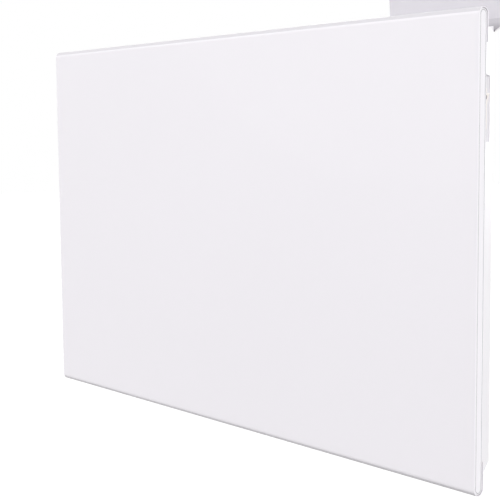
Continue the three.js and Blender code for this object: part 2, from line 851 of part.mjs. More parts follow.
// Heating element: crossed fins on a hub, with a bare tube at each end
function heatingElement() {
  const finReach = baffleX - elementEndGap;
  const hub = bar('x', elementHubRadius, -finReach, finReach, 0, 0, 0);
  const tubeReach = baffleX + elementTubeReach;
  const tube = bar('x', elementTubeRadius, -tubeReach, tubeReach, 0, 0, 0);
  let element = joined(hub, tube);
  for (const lean of [-1, 1]) {
    const fin = new THREE.BoxGeometry(finReach * 2, elementFinThickness, elementFinReach * 2);
    element = element.add(solid(fin.rotateX(lean * elementFinAngle)));
  }
  return element;
}

// Control housing: a tub open at the top and towards the right cover
function controlHousing() {
  const [fromX, toX] = [fasciaFarX, casingHalf];
  const lower = block(fromX, toX, innerFrontY, innerRearY, housingBottom, housingTop);
  const upper = block(fromX, toX, innerFrontY, rearY, casingTop + seatGap, shelfTop);
  const room = block(
    fromX + housingWall, toX + cutOverrun,
    innerFrontY + housingWall, innerRearY - housingWall,
    housingBottom + housingWall, housingTop + cutOverrun,
  );
  const troughRoom = block(
    fromX - cutOverrun, toX + cutOverrun, fasciaRearY, rearY + cutOverrun, shelfTop, bodyTop + cutOverrun,
  );
  let housing = joined(lower, upper).subtract(room).subtract(troughRoom);
  const boreEnd = hingeFarX - pinInLug - seatGap;
  const lug = hingeLug(fromX, hingeFarX - seatGap, boreEnd, hingeFarX);
  housing = housing.add(hingeShelf(fromX, toX)).add(lug);
  for (const [x, y] of powerPosts()) {
    const topZ = housingBottom + housingWall + powerPostHeight;
    housing = housing.add(bar('z', powerPostRadius, housingBottom, topZ, x, y, 0, smallSides));
  }
  return housing;
}

const powerMiddleX = (fasciaFarX + casingHalf) / 2;
const powerMiddleY = (innerFrontY + innerRearY) / 2;
const powerBoardWidth = innerRearY - innerFrontY - (housingWall + powerBoardMargin) * 2;

function powerPosts() {
  const reachX = powerBoardLength / 2 - powerPostInset;
  const reachY = powerBoardWidth / 2 - powerPostInset;
  const corners = [[-1, -1], [-1, 1], [1, -1], [1, 1]];
  return corners.map(([a, b]) => [powerMiddleX + a * reachX, powerMiddleY + b * reachY]);
}

function powerBoard() {
  const boardZ = housingBottom + housingWall + powerPostHeight + seatGap;
  const topZ = boardZ + boardThickness;
  const [halfX, halfY] = [powerBoardLength / 2, powerBoardWidth / 2];
  const atX = (share) => powerMiddleX + halfX * share;
  const atY = (share) => powerMiddleY + halfY * share;
  const plate = block(atX(-1), atX(1), atY(-1), atY(1), boardZ, topZ);
  const partShares = { transformer: [-0.6, -0.2], relay: [0.1, 0.2], capacitor: [0.65, -0.4] };
  const standing = (shares, size, height) => block(
    atX(shares[0]) - size / 2, atX(shares[0]) + size / 2,
    atY(shares[1]) - size / 2, atY(shares[1]) + size / 2,
    boardZ, topZ + height,
  );
  const [canX, canY] = partShares.capacitor;
  return joined(
    plate,
    standing(partShares.transformer, transformerSize, transformerHeight),
    standing(partShares.relay, relaySize, relayHeight),
    bar('z', capacitorRadius, boardZ, topZ + capacitorHeight, atX(canX), atY(canY), 0),
  );
}

// The controls are drawn with z = 0 on top of the fascia
const keyRows = [cornerX - keyNearX, cornerX - keyNearX - keyRowSpan];
const firstKeyY = lineY + fasciaDepth * keyFirstShare;
const keyColumns = [0, 1, 2].map((i) => firstKeyY + i * keyPitch);
const displayX = cornerX - displayFromCornerX;
const displayY = lineY + fasciaDepth * displayPlaceShare;
const lightY = lineY + fasciaDepth * lightPlaceShare;
const firstLightX = cornerX - lightFromCornerX;
const lightXs = Array.from({ length: lightCount }, (_, i) => firstLightX - i * lightPitch);
const boardFarX = fasciaFarX + housingWall + boardMargin;
const boardToX = cornerX - boardNearX;
const boardFromY = innerFrontY + housingWall + seatGap;
const boardToY = innerRearY - housingWall - boardRearMargin;
const bossPlaces = [boardFarX + bossInsetX, boardToX - bossInsetX]
  .flatMap((x) => [boardFromY + bossInsetY, boardToY - bossInsetY].map((y) => [x, y]));

function controlFascia() {
  const fromY = lineY + fasciaFrontGap;
  const endInset = sideWallRun + seatGap;
  const plate = alongZ(outline([
    [fasciaFarX, fromY],
    [sideX(fromY) - endInset, fromY],
    [sideX(fasciaRearY) - endInset, fasciaRearY],
    [fasciaFarX, fasciaRearY],
  ]), -fasciaThickness, 0);
  const sleeveLow = -fasciaThickness - keySleeveDepth;
  const inPlate = -fasciaThickness / 2;
  const deep = -fasciaThickness - cutOverrun;
  let fascia = plate;
  for (const [x, y] of bossPlaces) {
    fascia = fascia.add(bar('z', bossRadius, seatGap - boardDrop, inPlate, x, y, 0, smallSides));
  }
  const holes = [];
  const hole = keyRadius + keyClearance;
  for (const x of keyRows) {
    for (const y of keyColumns) {
      const sleeve = bar('z', hole + keySleeveWall, sleeveLow, inPlate, x, y, 0, keySides);
      const lip = spun([
        [0, inPlate],
        [hole + lipWidth, inPlate],
        [hole + lipWidth, 0],
        [hole + lipWidth / 2, lipHeight],
        [0, lipHeight],
      ], keySides);
      fascia = fascia.add(sleeve).add(solid(lip.rotateX(Math.PI / 2).translate(x, y, 0)));
      holes.push(bar('z', hole, sleeveLow - cutOverrun, cutOverrun, x, y, 0, keySides));
    }
  }
  for (const x of lightXs) {
    holes.push(bar('z', lightRadius + seatGap, deep, cutOverrun, x, lightY, 0, smallSides));
  }
  const [openX, openY] = [displayLength + seatGap * 2, displayWidth + seatGap * 2];
  const [rimX, rimY] = [openX + rimWidth * 2, openY + rimWidth * 2];
  const [wideX, wideY] = [openX + rimChamfer * 2, openY + rimChamfer * 2];
  fascia = fascia.add(flared(displayX, displayY, rimX, rimY, rimX, rimY, inPlate, lipHeight));
  holes.push(flared(displayX, displayY, openX, openY, openX, openY, deep, cutOverrun));
  holes.push(flared(displayX, displayY, openX, openY, wideX, wideY, lipHeight - rimChamfer, lipHeight));
  const behind = block(fasciaFarX - cutOverrun, sideFrontX, fasciaRearY, rearY, deep, cutOverrun);
  return fascia.subtract(joined(...holes)).subtract(behind);
}

// A key: dished cap, retaining flange under the sleeve and a stem over its switch
function keyShape() {
  const flangeLow = keyFlangeTop - keyFlangeThickness;
  return turned([
    [0, keyStemLow],
    [keyStemRadius, keyStemLow],
    [keyStemRadius, flangeLow],
    [keyRadius + keyFlangeOut, flangeLow],
    [keyRadius + keyFlangeOut, keyFlangeTop],
    [keyRadius, keyFlangeTop],
    [keyRadius, keyProud - keyEdgeRound],
    [keyRadius - keyEdgeRound, keyProud],
    [0, keyProud - keyEdgeRound / 2],
  ], keySides);
}

function displayWindow() {
  const [halfX, halfY] = [displayLength / 2, displayWidth / 2];
  const top = -fasciaThickness - seatGap;
  const lens = block(-halfX, halfX, -halfY, halfY, top - seatGap, windowThickness - fasciaThickness);
  const flange = block(
    -halfX - windowFlange, halfX + windowFlange,
    -halfY - windowFlange, halfY + windowFlange,
    top - windowFlangeThickness, top,
  );
  return lens.add(flange);
}

// Display module between the window and the board, with a recessed light box
function displayModule() {
  const [halfX, halfY] = [displayLength / 2 + seatGap, displayWidth / 2 + seatGap];
  const top = -fasciaThickness - seatGap * 2 - windowFlangeThickness;
  const body = block(-halfX, halfX, -halfY, halfY, seatGap - boardDrop, top);
  const [roomX, roomY] = [halfX - windowFlange, halfY - windowFlange];
  const room = block(-roomX, roomX, -roomY, roomY, top - windowFlange, top + cutOverrun);
  return body.subtract(room);
}

// Light guide: one bar under the fascia with a pin up through each hole
function lightGuide() {
  const top = -fasciaThickness - seatGap;
  const low = top - lightBarHeight;
  const half = lightBarWidth / 2;
  const [fromX, toX] = [lightXs[lightCount - 1] - half, lightXs[0] + half];
  let guide = block(fromX, toX, lightY - half, lightY + half, low, top);
  for (const x of lightXs) {
    guide = guide.add(bar('z', lightRadius, touchSwitchHeight - boardDrop, 0, x, lightY, 0, smallSides));
  }
  return guide;
}

function controlBoard() {
  const top = -boardDrop;
  const [under, switchTop] = [top - boardThickness, top + touchSwitchHeight];
  const half = touchSwitchSize / 2;
  let board = block(boardFarX, boardToX, boardFromY, boardToY, under, top);
  for (const x of keyRows) {
    for (const y of keyColumns) {
      board = board.add(block(x - half, x + half, y - half, y + half, under, switchTop));
    }
  }
  return board;
}

// Flap, drawn closed about its hinge axis: flat plate, rolled rear edge, lip and knuckles
function controlFlap() {
  const rollY = hingeInset - bodyDrop;
  const inner = bodyDrop - flapThickness;
  const frontEdge = lineY + flapFrontGap - hingeY;
  const shape = new THREE.Shape();
  shape.moveTo(frontEdge, inner);
  shape.lineTo(rollY, inner);
  shape.absarc(rollY, 0, inner, Math.PI / 2, 0, true);
  shape.lineTo(hingeInset - flapThickness, -flapLip);
  shape.lineTo(hingeInset, -flapLip);
  shape.lineTo(hingeInset, 0);
  shape.absarc(rollY, 0, bodyDrop, 0, Math.PI / 2, false);
  shape.lineTo(frontEdge, bodyDrop);
  const plan = outline([
    [fasciaFarX, lineY],
    [sideX(lineY), lineY],
    [sideX(rearY), rearY],
    [fasciaFarX, rearY],
  ].map(([x, y]) => [x, y - hingeY]));
  const planRoom = alongZ(plan, -cutOverrun, bodyDrop + cutOverrun);
  const lugTop = lugRadius + seatGap * 2;
  const lugRooms = joined(
    block(fasciaFarX - cutOverrun, hingeFarX, rollY, cutOverrun, -cutOverrun, lugTop),
    block(hingeNearX, sideFrontX, rollY, cutOverrun, -cutOverrun, lugTop),
  );
  let flap = alongX(shape, fasciaFarX, sideFrontX).intersect(planRoom).subtract(lugRooms);
  const ends = [[hingeFarX, hingeFarX + knuckleLength], [hingeNearX - knuckleLength, hingeNearX]];
  for (const [from, to] of ends) {
    flap = flap.add(bar('x', knuckleRadius, from, to, 0, 0, 0));
  }
  for (const [from, to] of ends) {
    flap = flap.subtract(bar('x', pinRadius + seatGap, from - cutOverrun, to + cutOverrun, 0, 0, 0));
  }
  return flap;
}

// Rocker: a shallow V between rounded ends, drawn level about its pivot
function switchRocker() {
  const reach = Math.hypot(rockerCrown, rockerHalfHeight);
  const endAngle = Math.atan2(rockerHalfHeight, rockerCrown);
  const backAngle = Math.PI - Math.asin(Math.sqrt(1 - (rockerDepth / reach) ** 2));
  const shape = new THREE.Shape();
  shape.moveTo(rockerValley, 0);
  shape.lineTo(reach * Math.cos(endAngle), reach * Math.sin(endAngle));
  shape.absarc(0, 0, reach, endAngle, backAngle, false);
  shape.lineTo(-rockerDepth, -reach * Math.sin(backAngle));
  shape.absarc(0, 0, reach, -backAngle, -endAngle, false);
  const half = rockerWidth / 2;
  const body = alongY(shape, -half, half);
  const nub = half + rockerPivotLength;
  return body.add(bar('y', rockerPivotRadius, -nub, nub, 0, 0, 0));
}

// Switch body: bezel on the recess floor, hollow box behind it and three tabs
function switchBody() {
  const [bezelW, bezelH] = [bezelWidth / 2, bezelHeight / 2];
  const bezel = block(0, bezelThickness, -bezelW, bezelW, -bezelH, bezelH);
  const [halfW, halfH] = [switchBodyWidth / 2, switchBodyHeight / 2];
  const box = block(-switchBodyDepth, bezelThickness / 2, -halfW, halfW, -halfH, halfH);
  const reach = Math.hypot(rockerCrown, rockerHalfHeight) + seatGap;
  const opening = rockerWidth / 2 + seatGap;
  const room = block(-switchCavityDepth, bezelThickness + cutOverrun, -opening, opening, -reach, reach);
  const socketReach = rockerWidth / 2 + rockerPivotLength + seatGap;
  const socket = bar('y', rockerPivotRadius + seatGap, -socketReach, socketReach, 0, 0, 0);
  let body = joined(bezel, box);
  for (const z of [-1, 0, 1]) {
    const middle = z * (halfH - tabWidth);
    const end = -switchBodyDepth - tabLength;
    body = body.add(block(
      end, -switchBodyDepth + switchWall, -tabWidth / 2, tabWidth / 2,
      middle - tabHeight / 2, middle + tabHeight / 2,
    ));
  }
  return body.subtract(room).subtract(socket);
}

function thermalCutout() {
  const backY = shieldRearY + seatGap;
  const z = elementZ + cutoutRise;
  const [halfL, halfW] = [cutoutPlateLength / 2, cutoutPlateWidth / 2];
  const plateY = backY + cutoutPlateThickness;
  const plate = block(cutoutOffsetX - halfL, cutoutOffsetX + halfL, backY, plateY, z - halfW, z + halfW);
  return plate.add(bar('y', cutoutRadius, backY, backY + cutoutHeight, cutoutOffsetX, 0, z));
}

const sensorX = baffleX - baffleFlange - sensorOffsetX;
const sensorLow = bodyBottom + sheetThickness + seatGap;

function sensorHolder() {
  const [halfL, halfW] = [sensorHolderLength / 2, sensorHolderWidth / 2];
  const post = block(
    sensorX - halfL, sensorX + halfL, elementY - halfW, elementY + halfW,
    sensorLow, sensorLow + sensorHolderHeight,
  );
  const hole = bar(
    'x', sensorRadius + seatGap, sensorX - halfL - cutOverrun, sensorX + halfL + cutOverrun,
    0, elementY, sensorLow + sensorHolderHeight / 2,
  );
  return post.subtract(hole);
}

function terminalBlock() {
  const backY = bodyFrontY + coverWall + seatGap;
  const fromX = coverInnerX + seatGap;
  const low = bodyBottom + terminalRise;
  const [toX, faceY] = [fromX + terminalLength, backY + terminalDepth];
  let body = block(fromX, toX, backY, faceY, low, low + terminalHeight);
  for (let i = 0; i < terminalWays; i += 1) {
    const x = fromX + terminalLength * (i + 1 / 2) / terminalWays;
    const from = backY + terminalDepth / 2;
    const z = low + terminalHeight / 2;
    body = body.subtract(bar('y', terminalHoleRadius, from, from + terminalDepth, x, 0, z));
  }
  return body;
}

// Cable inlet: a bush clipped through the floor of the right cover
function cableGland() {
  const flange = glandRadius + glandFlange;
  const low = -glandFlangeThickness - seatGap;
  const high = coverWall + glandInside;
  return turned([
    [glandBore, low],
    [flange - glandFlange / 2, low],
    [flange, low + glandFlangeThickness / 2],
    [flange, low + glandFlangeThickness],
    [glandRadius, low + glandFlangeThickness],
    [glandRadius, coverWall + seatGap],
    [glandRadius + glandFlange / 2, coverWall + seatGap],
    [glandRadius, high],
    [glandBore, high],
    [glandBore, low],
  ]);
}

// Wall bracket: a folded channel with two upturned hooks
function wallBracket() {
  const half = bracketHeight / 2;
  const channel = outline([
    [0, -half],
    [0, half],
    [-bracketFlange, half],
    [-bracketFlange, half - bracketThickness],
    [-bracketThickness, half - bracketThickness],
    [-bracketThickness, bracketThickness - half],
    [rearY + seatGap, bracketThickness - half],
    [rearY + seatGap, -half],
  ]);
  let bracket = alongX(channel, -bracketWidth / 2, bracketWidth / 2);
  const tipY = rearY - sheetThickness - hookPlay;
  const hook = outline([
    [-bracketFlange / 2, half - hookThickness],
    [-bracketFlange / 2, half],
    [tipY, half],
    [tipY, half + hookRise],
    [tipY - hookThickness, half + hookRise],
    [tipY - hookThickness, half - hookThickness],
  ]);
  for (const side of [-1, 1]) {
    const x = side * hookX;
    bracket = bracket.add(alongX(hook, x - hookWidth / 2, x + hookWidth / 2));
  }
  const holeFrom = -bracketThickness - cutOverrun / 2;
  for (const share of bracketHoleShares) {
    const hole = bar('y', bracketHoleRadius, holeFrom, cutOverrun, bracketWidth * share, 0, 0);
    bracket = bracket.subtract(hole);
  }
  return bracket;
}

// Lower spacer: a foot on the wall with a stem snapped into the casing
function wallSpacer() {
  const face = rearY + seatGap;
  const inner = rearY - sheetThickness - seatGap;
  return turned([
    [0, inner - spacerStemReach],
    [spacerStemRadius - spacerBarb, inner - spacerStemReach],
    [spacerStemRadius + spacerBarb, inner],
    [spacerStemRadius, inner],
    [spacerStemRadius, face],
    [spacerRadius, face],
    [spacerRadius, -spacerEdge - seatGap],
    [spacerRadius - spacerEdge, -seatGap],
    [0, -seatGap],
  ], plainSides);
}

function at(mesh, x, y, z) {
  mesh.position.set(x, y, z);
  return mesh;
}

// The assembly
const heater = new THREE.Group();
heater.add(piece('wall_bracket', wallBracket(), finishes.zincSteel));

const shell = new THREE.Group();
heater.add(shell);
const panel = alongX(panelSection(), -panelWidth / 2, panelWidth / 2);
shell.add(piece('front_panel', panel, finishes.panelPaint));
shell.add(piece('panel_end_cap_left', endCap(-1), finishes.whiteMoulding));
shell.add(piece('panel_end_cap_right', endCap(1), finishes.whiteMoulding));
shell.add(piece('rear_casing', rearCasing(), finishes.casingPaint));
shell.add(piece('outlet_grille', outletGrille(), finishes.casingPaint));
shell.add(piece('left_side_cover', leftSideCover(), finishes.whiteMoulding));
shell.add(piece('right_side_cover', rightSideCover(), finishes.whiteMoulding));
shell.add(piece('heat_shield', heatShield(), finishes.zincSteel));
for (const side of [-1, 1]) {
  const end = side < 0 ? 'left' : 'right';
  const screw = piece(`side_screw_${end}`, solid(screwForm(0, screwLength, 0)), finishes.zincSteel);
  const { position, rotation } = screwPlace(side);
  screw.position.copy(position);
  screw.rotation.copy(rotation);
  shell.add(screw);
  const spacer = piece(`wall_spacer_${end}`, wallSpacer(), finishes.whiteMoulding);
  shell.add(at(spacer, side * spacerX, 0, bodyBottom + spacerRise));
}

const duct = new THREE.Group();
heater.add(duct);
duct.add(piece('end_baffle_left', leftBaffle(), finishes.zincSteel));
duct.add(piece('end_baffle_right', rightBaffle(), finishes.zincSteel));
duct.add(elementBush(-1));
duct.add(elementBush(1));
duct.add(at(piece('heating_element', heatingElement(), finishes.aluminium), 0, elementY, elementZ));
duct.add(piece('thermal_cutout', thermalCutout(), finishes.zincSteel));
duct.add(piece('sensor_holder', sensorHolder(), finishes.whiteMoulding));
const sensorBar = bar('x', sensorRadius, -sensorLength / 2, sensorLength / 2, 0, 0, 0);
const sensor = piece('room_sensor', sensorBar, finishes.darkPlastic);
duct.add(at(sensor, sensorX, elementY, sensorLow + sensorHolderHeight / 2));
duct.add(piece('terminal_block', terminalBlock(), finishes.whiteMoulding));
const gland = piece('cable_gland', cableGland(), finishes.darkPlastic);
gland.rotation.x = Math.PI / 2;
duct.add(at(gland, glandX(), glandY(), bodyBottom));
duct.add(piece('control_housing', controlHousing(), finishes.whiteMoulding));
duct.add(piece('power_board', powerBoard(), finishes.board));

const controls = new THREE.Group();
controls.position.z = bodyTop;
heater.add(controls);
controls.add(piece('control_fascia', controlFascia(), finishes.fasciaMoulding));
controls.add(at(piece('display_window', displayWindow(), finishes.smokedLens), displayX, displayY, 0));
controls.add(at(piece('display_module', displayModule(), finishes.darkPlastic), displayX, displayY, 0));
controls.add(piece('light_guide', lightGuide(), finishes.clearGuide));
controls.add(piece('control_board', controlBoard(), finishes.board));
const keyNames = [['key_power', 'key_minus', 'key_plus'], ['key_timer', 'key_mode', 'key_lock']];
keyNames.forEach((names, row) => {
  names.forEach((name, column) => {
    const key = piece(name, keyShape(), finishes.keyMoulding);
    key.rotation.x = Math.PI / 2;
    controls.add(at(key, keyRows[row], keyColumns[column], 0));
  });
});

const hinge = new THREE.Group();
hinge.position.set(0, hingeY, bodyTop);
heater.add(hinge);
const farPin = bar('x', pinRadius, hingeFarX - pinInLug, hingeFarX + pinInFlap, 0, 0, 0);
const nearPin = bar('x', pinRadius, hingeNearX - pinInFlap, hingeNearX + pinInLug, 0, 0, 0);
hinge.add(piece('hinge_pin_far', farPin, finishes.zincSteel));
hinge.add(piece('hinge_pin_near', nearPin, finishes.zincSteel));
const flap = piece('control_flap', controlFlap(), finishes.whiteMoulding);
flap.rotation.x = -flapOpenAngle;
hinge.add(flap);

const powerSwitch = new THREE.Group();
powerSwitch.position.set(recessFloorX + seatGap, switchY, switchZ);
heater.add(powerSwitch);
powerSwitch.add(piece('switch_body', switchBody(), finishes.rockerMoulding));
const rocker = piece('switch_rocker', switchRocker(), finishes.rockerMoulding);
rocker.rotation.y = rockerTilt;
powerSwitch.add(rocker);

export default heater;
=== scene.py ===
import json
import math

import bmesh
import bpy
from mathutils import Matrix, Vector


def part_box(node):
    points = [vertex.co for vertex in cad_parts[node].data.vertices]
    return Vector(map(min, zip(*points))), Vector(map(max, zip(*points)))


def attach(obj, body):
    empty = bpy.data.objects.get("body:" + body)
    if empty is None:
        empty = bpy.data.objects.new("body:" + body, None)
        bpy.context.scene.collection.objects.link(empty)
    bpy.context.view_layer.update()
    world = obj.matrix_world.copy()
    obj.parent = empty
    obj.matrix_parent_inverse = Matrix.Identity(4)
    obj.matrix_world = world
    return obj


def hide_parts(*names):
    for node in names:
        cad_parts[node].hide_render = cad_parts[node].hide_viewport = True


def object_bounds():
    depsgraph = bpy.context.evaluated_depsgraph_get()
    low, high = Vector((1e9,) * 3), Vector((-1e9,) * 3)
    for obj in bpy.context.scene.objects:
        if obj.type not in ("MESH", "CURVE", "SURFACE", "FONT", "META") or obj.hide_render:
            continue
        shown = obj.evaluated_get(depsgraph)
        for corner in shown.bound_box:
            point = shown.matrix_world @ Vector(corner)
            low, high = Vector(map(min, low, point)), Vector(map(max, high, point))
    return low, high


mm = 0.001
mergeWithin, sameWithin = 0.001 * mm, 0.01 * mm


def inMm(**sizes):  # sizes of a piece, given in millimetres
    return {name: size * mm for name, size in sizes.items()}


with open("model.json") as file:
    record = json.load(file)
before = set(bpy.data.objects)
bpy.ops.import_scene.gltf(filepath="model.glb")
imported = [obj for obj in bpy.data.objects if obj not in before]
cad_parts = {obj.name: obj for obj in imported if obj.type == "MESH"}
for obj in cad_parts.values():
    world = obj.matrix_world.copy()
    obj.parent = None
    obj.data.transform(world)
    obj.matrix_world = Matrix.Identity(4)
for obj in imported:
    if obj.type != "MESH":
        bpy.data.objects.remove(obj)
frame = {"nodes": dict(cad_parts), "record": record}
cadBox = [list(corner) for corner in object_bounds()]
nodes = frame["nodes"]
bodyOf = {n: body for body, names in frame["record"]["behaviour"]["bodies"].items() for n in names}
slotOf = {row["node"]: row["material_slot"] for row in frame["record"]["subparts"]}
scene = bpy.context.scene
scene.view_settings.view_transform = "Standard"
print("frame loaded with", len(nodes), "nodes")


def addObject(name, data):
    obj = bpy.data.objects.new(name, data)
    scene.collection.objects.link(obj)
    return obj


# making and joining shader and geometry nodes

def shade(red, green, blue):  # a colour as seen on screen, 0 to 255
    levels = [c / 255 for c in (red, green, blue)]
    return [v / 12.92 if v <= 0.04045 else ((v + 0.055) / 1.055) ** 2.4 for v in levels] + [1]


def feed(tree, value, socket):  # links a socket or sets a plain value
    if isinstance(value, bpy.types.NodeSocket):
        tree.links.new(value, socket)
    else:
        socket.default_value = value


def maths(tree, operation, first, second=0.0, third=0.0):
    node = tree.nodes.new("ShaderNodeMath")
    node.operation = operation
    for value, socket in zip((first, second, third), node.inputs):
        feed(tree, value, socket)
    return node.outputs[0]


def sums(tree):  # short calls for plus, minus, times and over
    kinds = ("ADD", "SUBTRACT", "MULTIPLY", "DIVIDE")
    return [lambda first, second, kind=kind: maths(tree, kind, first, second) for kind in kinds]


def vectorMaths(tree, operation, first, second):
    node = tree.nodes.new("ShaderNodeVectorMath")
    node.operation = operation
    tree.links.new(first, node.inputs[0])
    feed(tree, second, node.inputs["Scale" if operation == "SCALE" else 1])
    return node.outputs[0]


def triple(tree, x=0.0, y=0.0, z=0.0):
    node = tree.nodes.new("ShaderNodeCombineXYZ")
    for value, socket in zip((x, y, z), node.inputs):
        feed(tree, value, socket)
    return node.outputs[0]


def partOf(tree, vector, axis):
    node = tree.nodes.new("ShaderNodeSeparateXYZ")
    tree.links.new(vector, node.inputs[0])
    return node.outputs[axis]


def noise(tree, where, scale, detail=2.0):
    node = tree.nodes.new("ShaderNodeTexNoise")
    node.inputs["Detail"].default_value = detail
    tree.links.new(where, node.inputs["Vector"])
    feed(tree, scale, node.inputs["Scale"])
    return node.outputs["Fac"]


def fromTo(tree, value, low, high):
    node = tree.nodes.new("ShaderNodeMapRange")
    for given, label in ((value, "Value"), (low, "To Min"), (high, "To Max")):
        feed(tree, given, node.inputs[label])
    return node.outputs[0]


def mixed(tree, share, first, second):
    node = tree.nodes.new("ShaderNodeMix")
    node.data_type = "RGBA"
    for value, label in ((share, "Factor"), (first, "A"), (second, "B")):
        feed(tree, value, node.inputs[label])
    return next(socket for socket in node.outputs if socket.type == "RGBA")


# camera, solved from the front panel's edges in the photograph

camera = {
    "place": (906.73 * mm, -829.58 * mm, 31.52 * mm),
    "azimuth": 49.471,
    "pitch": 5.784,
    "roll": -0.516,
    "lens": 83.232,
    "sensor": 36,
    "sees": (0.02, 100),
}


def placeCamera():
    turn, dip, roll = (math.radians(camera[k]) for k in ("azimuth", "pitch", "roll"))
    ahead = Vector((-math.sin(turn) * math.cos(dip), math.cos(turn) * math.cos(dip), -math.sin(dip)))
    right = Vector((math.cos(turn), math.sin(turn), 0))
    up = right.cross(ahead)
    leanRight = right * math.cos(roll) + up * math.sin(roll)
    leanUp = up * math.cos(roll) - right * math.sin(roll)
    data = bpy.data.cameras.new("camera")
    data.lens = camera["lens"]
    data.sensor_width = camera["sensor"]
    data.clip_start, data.clip_end = camera["sees"]
    axes = Matrix((leanRight, leanUp, -ahead)).transposed().to_4x4()
    scene.camera = addObject("camera", data)
    scene.camera.matrix_world = Matrix.Translation(camera["place"]) @ axes


placeCamera()
print("camera placed")


def boxRound(x, y, halfX, halfY):
    return [(x - halfX, y - halfY), (x + halfX, y - halfY), (x + halfX, y + halfY), (x - halfX, y + halfY)]


# floor, world and lamps

studio = {
    "floorDrop": 600 * mm,
    "floorSize": 30,
    "floorShade": 0.35,
    "floorGlow": 0.76,
    "worldStrength": 0.5,
}

lamps = {  # direction of the light's source, strength and width in degrees
    "lampFrontLeft": ((-1.5, -2.4, 0.95), 1.48, 50),
    "lampFrontRight": ((2.8, -0.7, 0.75), 2.2, 40),
    "lampRear": ((-1.2, 2.4, 0.7), 1.35, 50),
}


def showsWhite(tree):  # 1 for camera, glossy and transmission rays
    path = tree.nodes.new("ShaderNodeLightPath").outputs
    seen = maths(tree, "MAXIMUM", path["Is Camera Ray"], path["Is Glossy Ray"])
    return maths(tree, "MAXIMUM", seen, path["Is Transmission Ray"])


def makeWorld():
    world = bpy.data.worlds.new("studio")
    world.use_nodes = True
    tree = world.node_tree
    tree.nodes.clear()
    plain = tree.nodes.new("ShaderNodeBackground")
    plain.inputs["Strength"].default_value = studio["worldStrength"]
    seen = tree.nodes.new("ShaderNodeBackground")
    mix = tree.nodes.new("ShaderNodeMixShader")
    out = tree.nodes.new("ShaderNodeOutputWorld")
    for background in (plain, seen):
        background.inputs["Color"].default_value = (1, 1, 1, 1)
    tree.links.new(showsWhite(tree), mix.inputs[0])
    tree.links.new(plain.outputs[0], mix.inputs[1])
    tree.links.new(seen.outputs[0], mix.inputs[2])
    tree.links.new(mix.outputs[0], out.inputs[0])
    scene.world = world


def makeFloor():
    half, z = studio["floorSize"] / 2, cadBox[0][2] - studio["floorDrop"]
    mesh = bpy.data.meshes.new("floor")
    mesh.from_pydata([(x, y, z) for x, y in boxRound(0, 0, half, half)], [], [(0, 1, 2, 3)])
    floor = addObject("floor", mesh)
    paper = bpy.data.materials.new("paperFloor")
    paper.use_nodes = True
    tree = paper.node_tree
    tree.nodes.clear()
    diffuse = tree.nodes.new("ShaderNodeBsdfDiffuse")
    diffuse.inputs["Color"].default_value = [studio["floorShade"]] * 3 + [1]
    glow = tree.nodes.new("ShaderNodeEmission")
    both = tree.nodes.new("ShaderNodeAddShader")
    out = tree.nodes.new("ShaderNodeOutputMaterial")
    tree.links.new(maths(tree, "MULTIPLY", showsWhite(tree), studio["floorGlow"]), glow.inputs["Strength"])
    tree.links.new(diffuse.outputs[0], both.inputs[0])
    tree.links.new(glow.outputs[0], both.inputs[1])
    tree.links.new(both.outputs[0], out.inputs[0])
    mesh.materials.append(paper)


def makeLamps():
    for name, (place, strength, width) in lamps.items():
        data = bpy.data.lights.new(name, "SUN")
        data.energy, data.angle = strength, math.radians(width)
        lamp = addObject(name, data)
        lamp.location = place
        lamp.rotation_mode = "QUATERNION"
        lamp.rotation_quaternion = Vector(place).to_track_quat("Z", "Y")


makeWorld()
makeFloor()
makeLamps()
print("floor, world and lamps placed")


# shader effects shared by several finishes

def effectGroup(name, inputs, outputs):  # a socket's kind follows from its value: number, vector or colour
    tree = bpy.data.node_groups.new(name, "ShaderNodeTree")
    for label, value in {"Where": (0, 0, 0), **inputs}.items():
        kind = {0: "Float", 3: "Vector", 4: "Color"}[len(value) if isinstance(value, tuple) else 0]
        socket = tree.interface.new_socket(label, in_out="INPUT", socket_type="NodeSocket" + kind)
        socket.default_value = value
    for label, kind in outputs.items():
        tree.interface.new_socket(label, in_out="OUTPUT", socket_type="NodeSocket" + kind)
    return tree, tree.nodes.new("NodeGroupInput").outputs, tree.nodes.new("NodeGroupOutput").inputs


def makeSurfaceGrain():  # orange peel of a sprayed coat, or the fine texture of a mould
    inputs = {"Coarse Scale": 800.0, "Fine Scale": 3000.0, "Fine Share": 0.3}
    tree, given, result = effectGroup("surfaceGrain", inputs, {"Height": "Float"})
    coarse = noise(tree, given["Where"], given["Coarse Scale"])
    fine = noise(tree, given["Where"], given["Fine Scale"])
    tree.links.new(maths(tree, "MULTIPLY_ADD", fine, given["Fine Share"], coarse), result["Height"])
    return tree


def makeToneDrift():  # slow changes of tone and gloss over a surface, with finger smudges in the gloss
    inputs = {"Colour": (1, 1, 1, 1), "Tone Drift": 0.02, "Drift Scale": 6.0, "Roughness": 0.5,
              "Gloss Drift": 0.05, "Smudge Scale": 22.0}
    tree, given, result = effectGroup("toneDrift", inputs, {"Colour": "Color", "Roughness": "Float"})
    drift = fromTo(tree, noise(tree, given["Where"], given["Drift Scale"], 3.0), -1.0, 1.0)
    tone = maths(tree, "MULTIPLY_ADD", drift, given["Tone Drift"], 1.0)
    tree.links.new(vectorMaths(tree, "SCALE", given["Colour"], tone), result["Colour"])
    smudge = fromTo(tree, noise(tree, given["Where"], given["Smudge Scale"], 4.0), -1.0, 1.0)
    rough = maths(tree, "MULTIPLY_ADD", smudge, given["Gloss Drift"], given["Roughness"])
    tree.links.new(rough, result["Roughness"])
    return tree


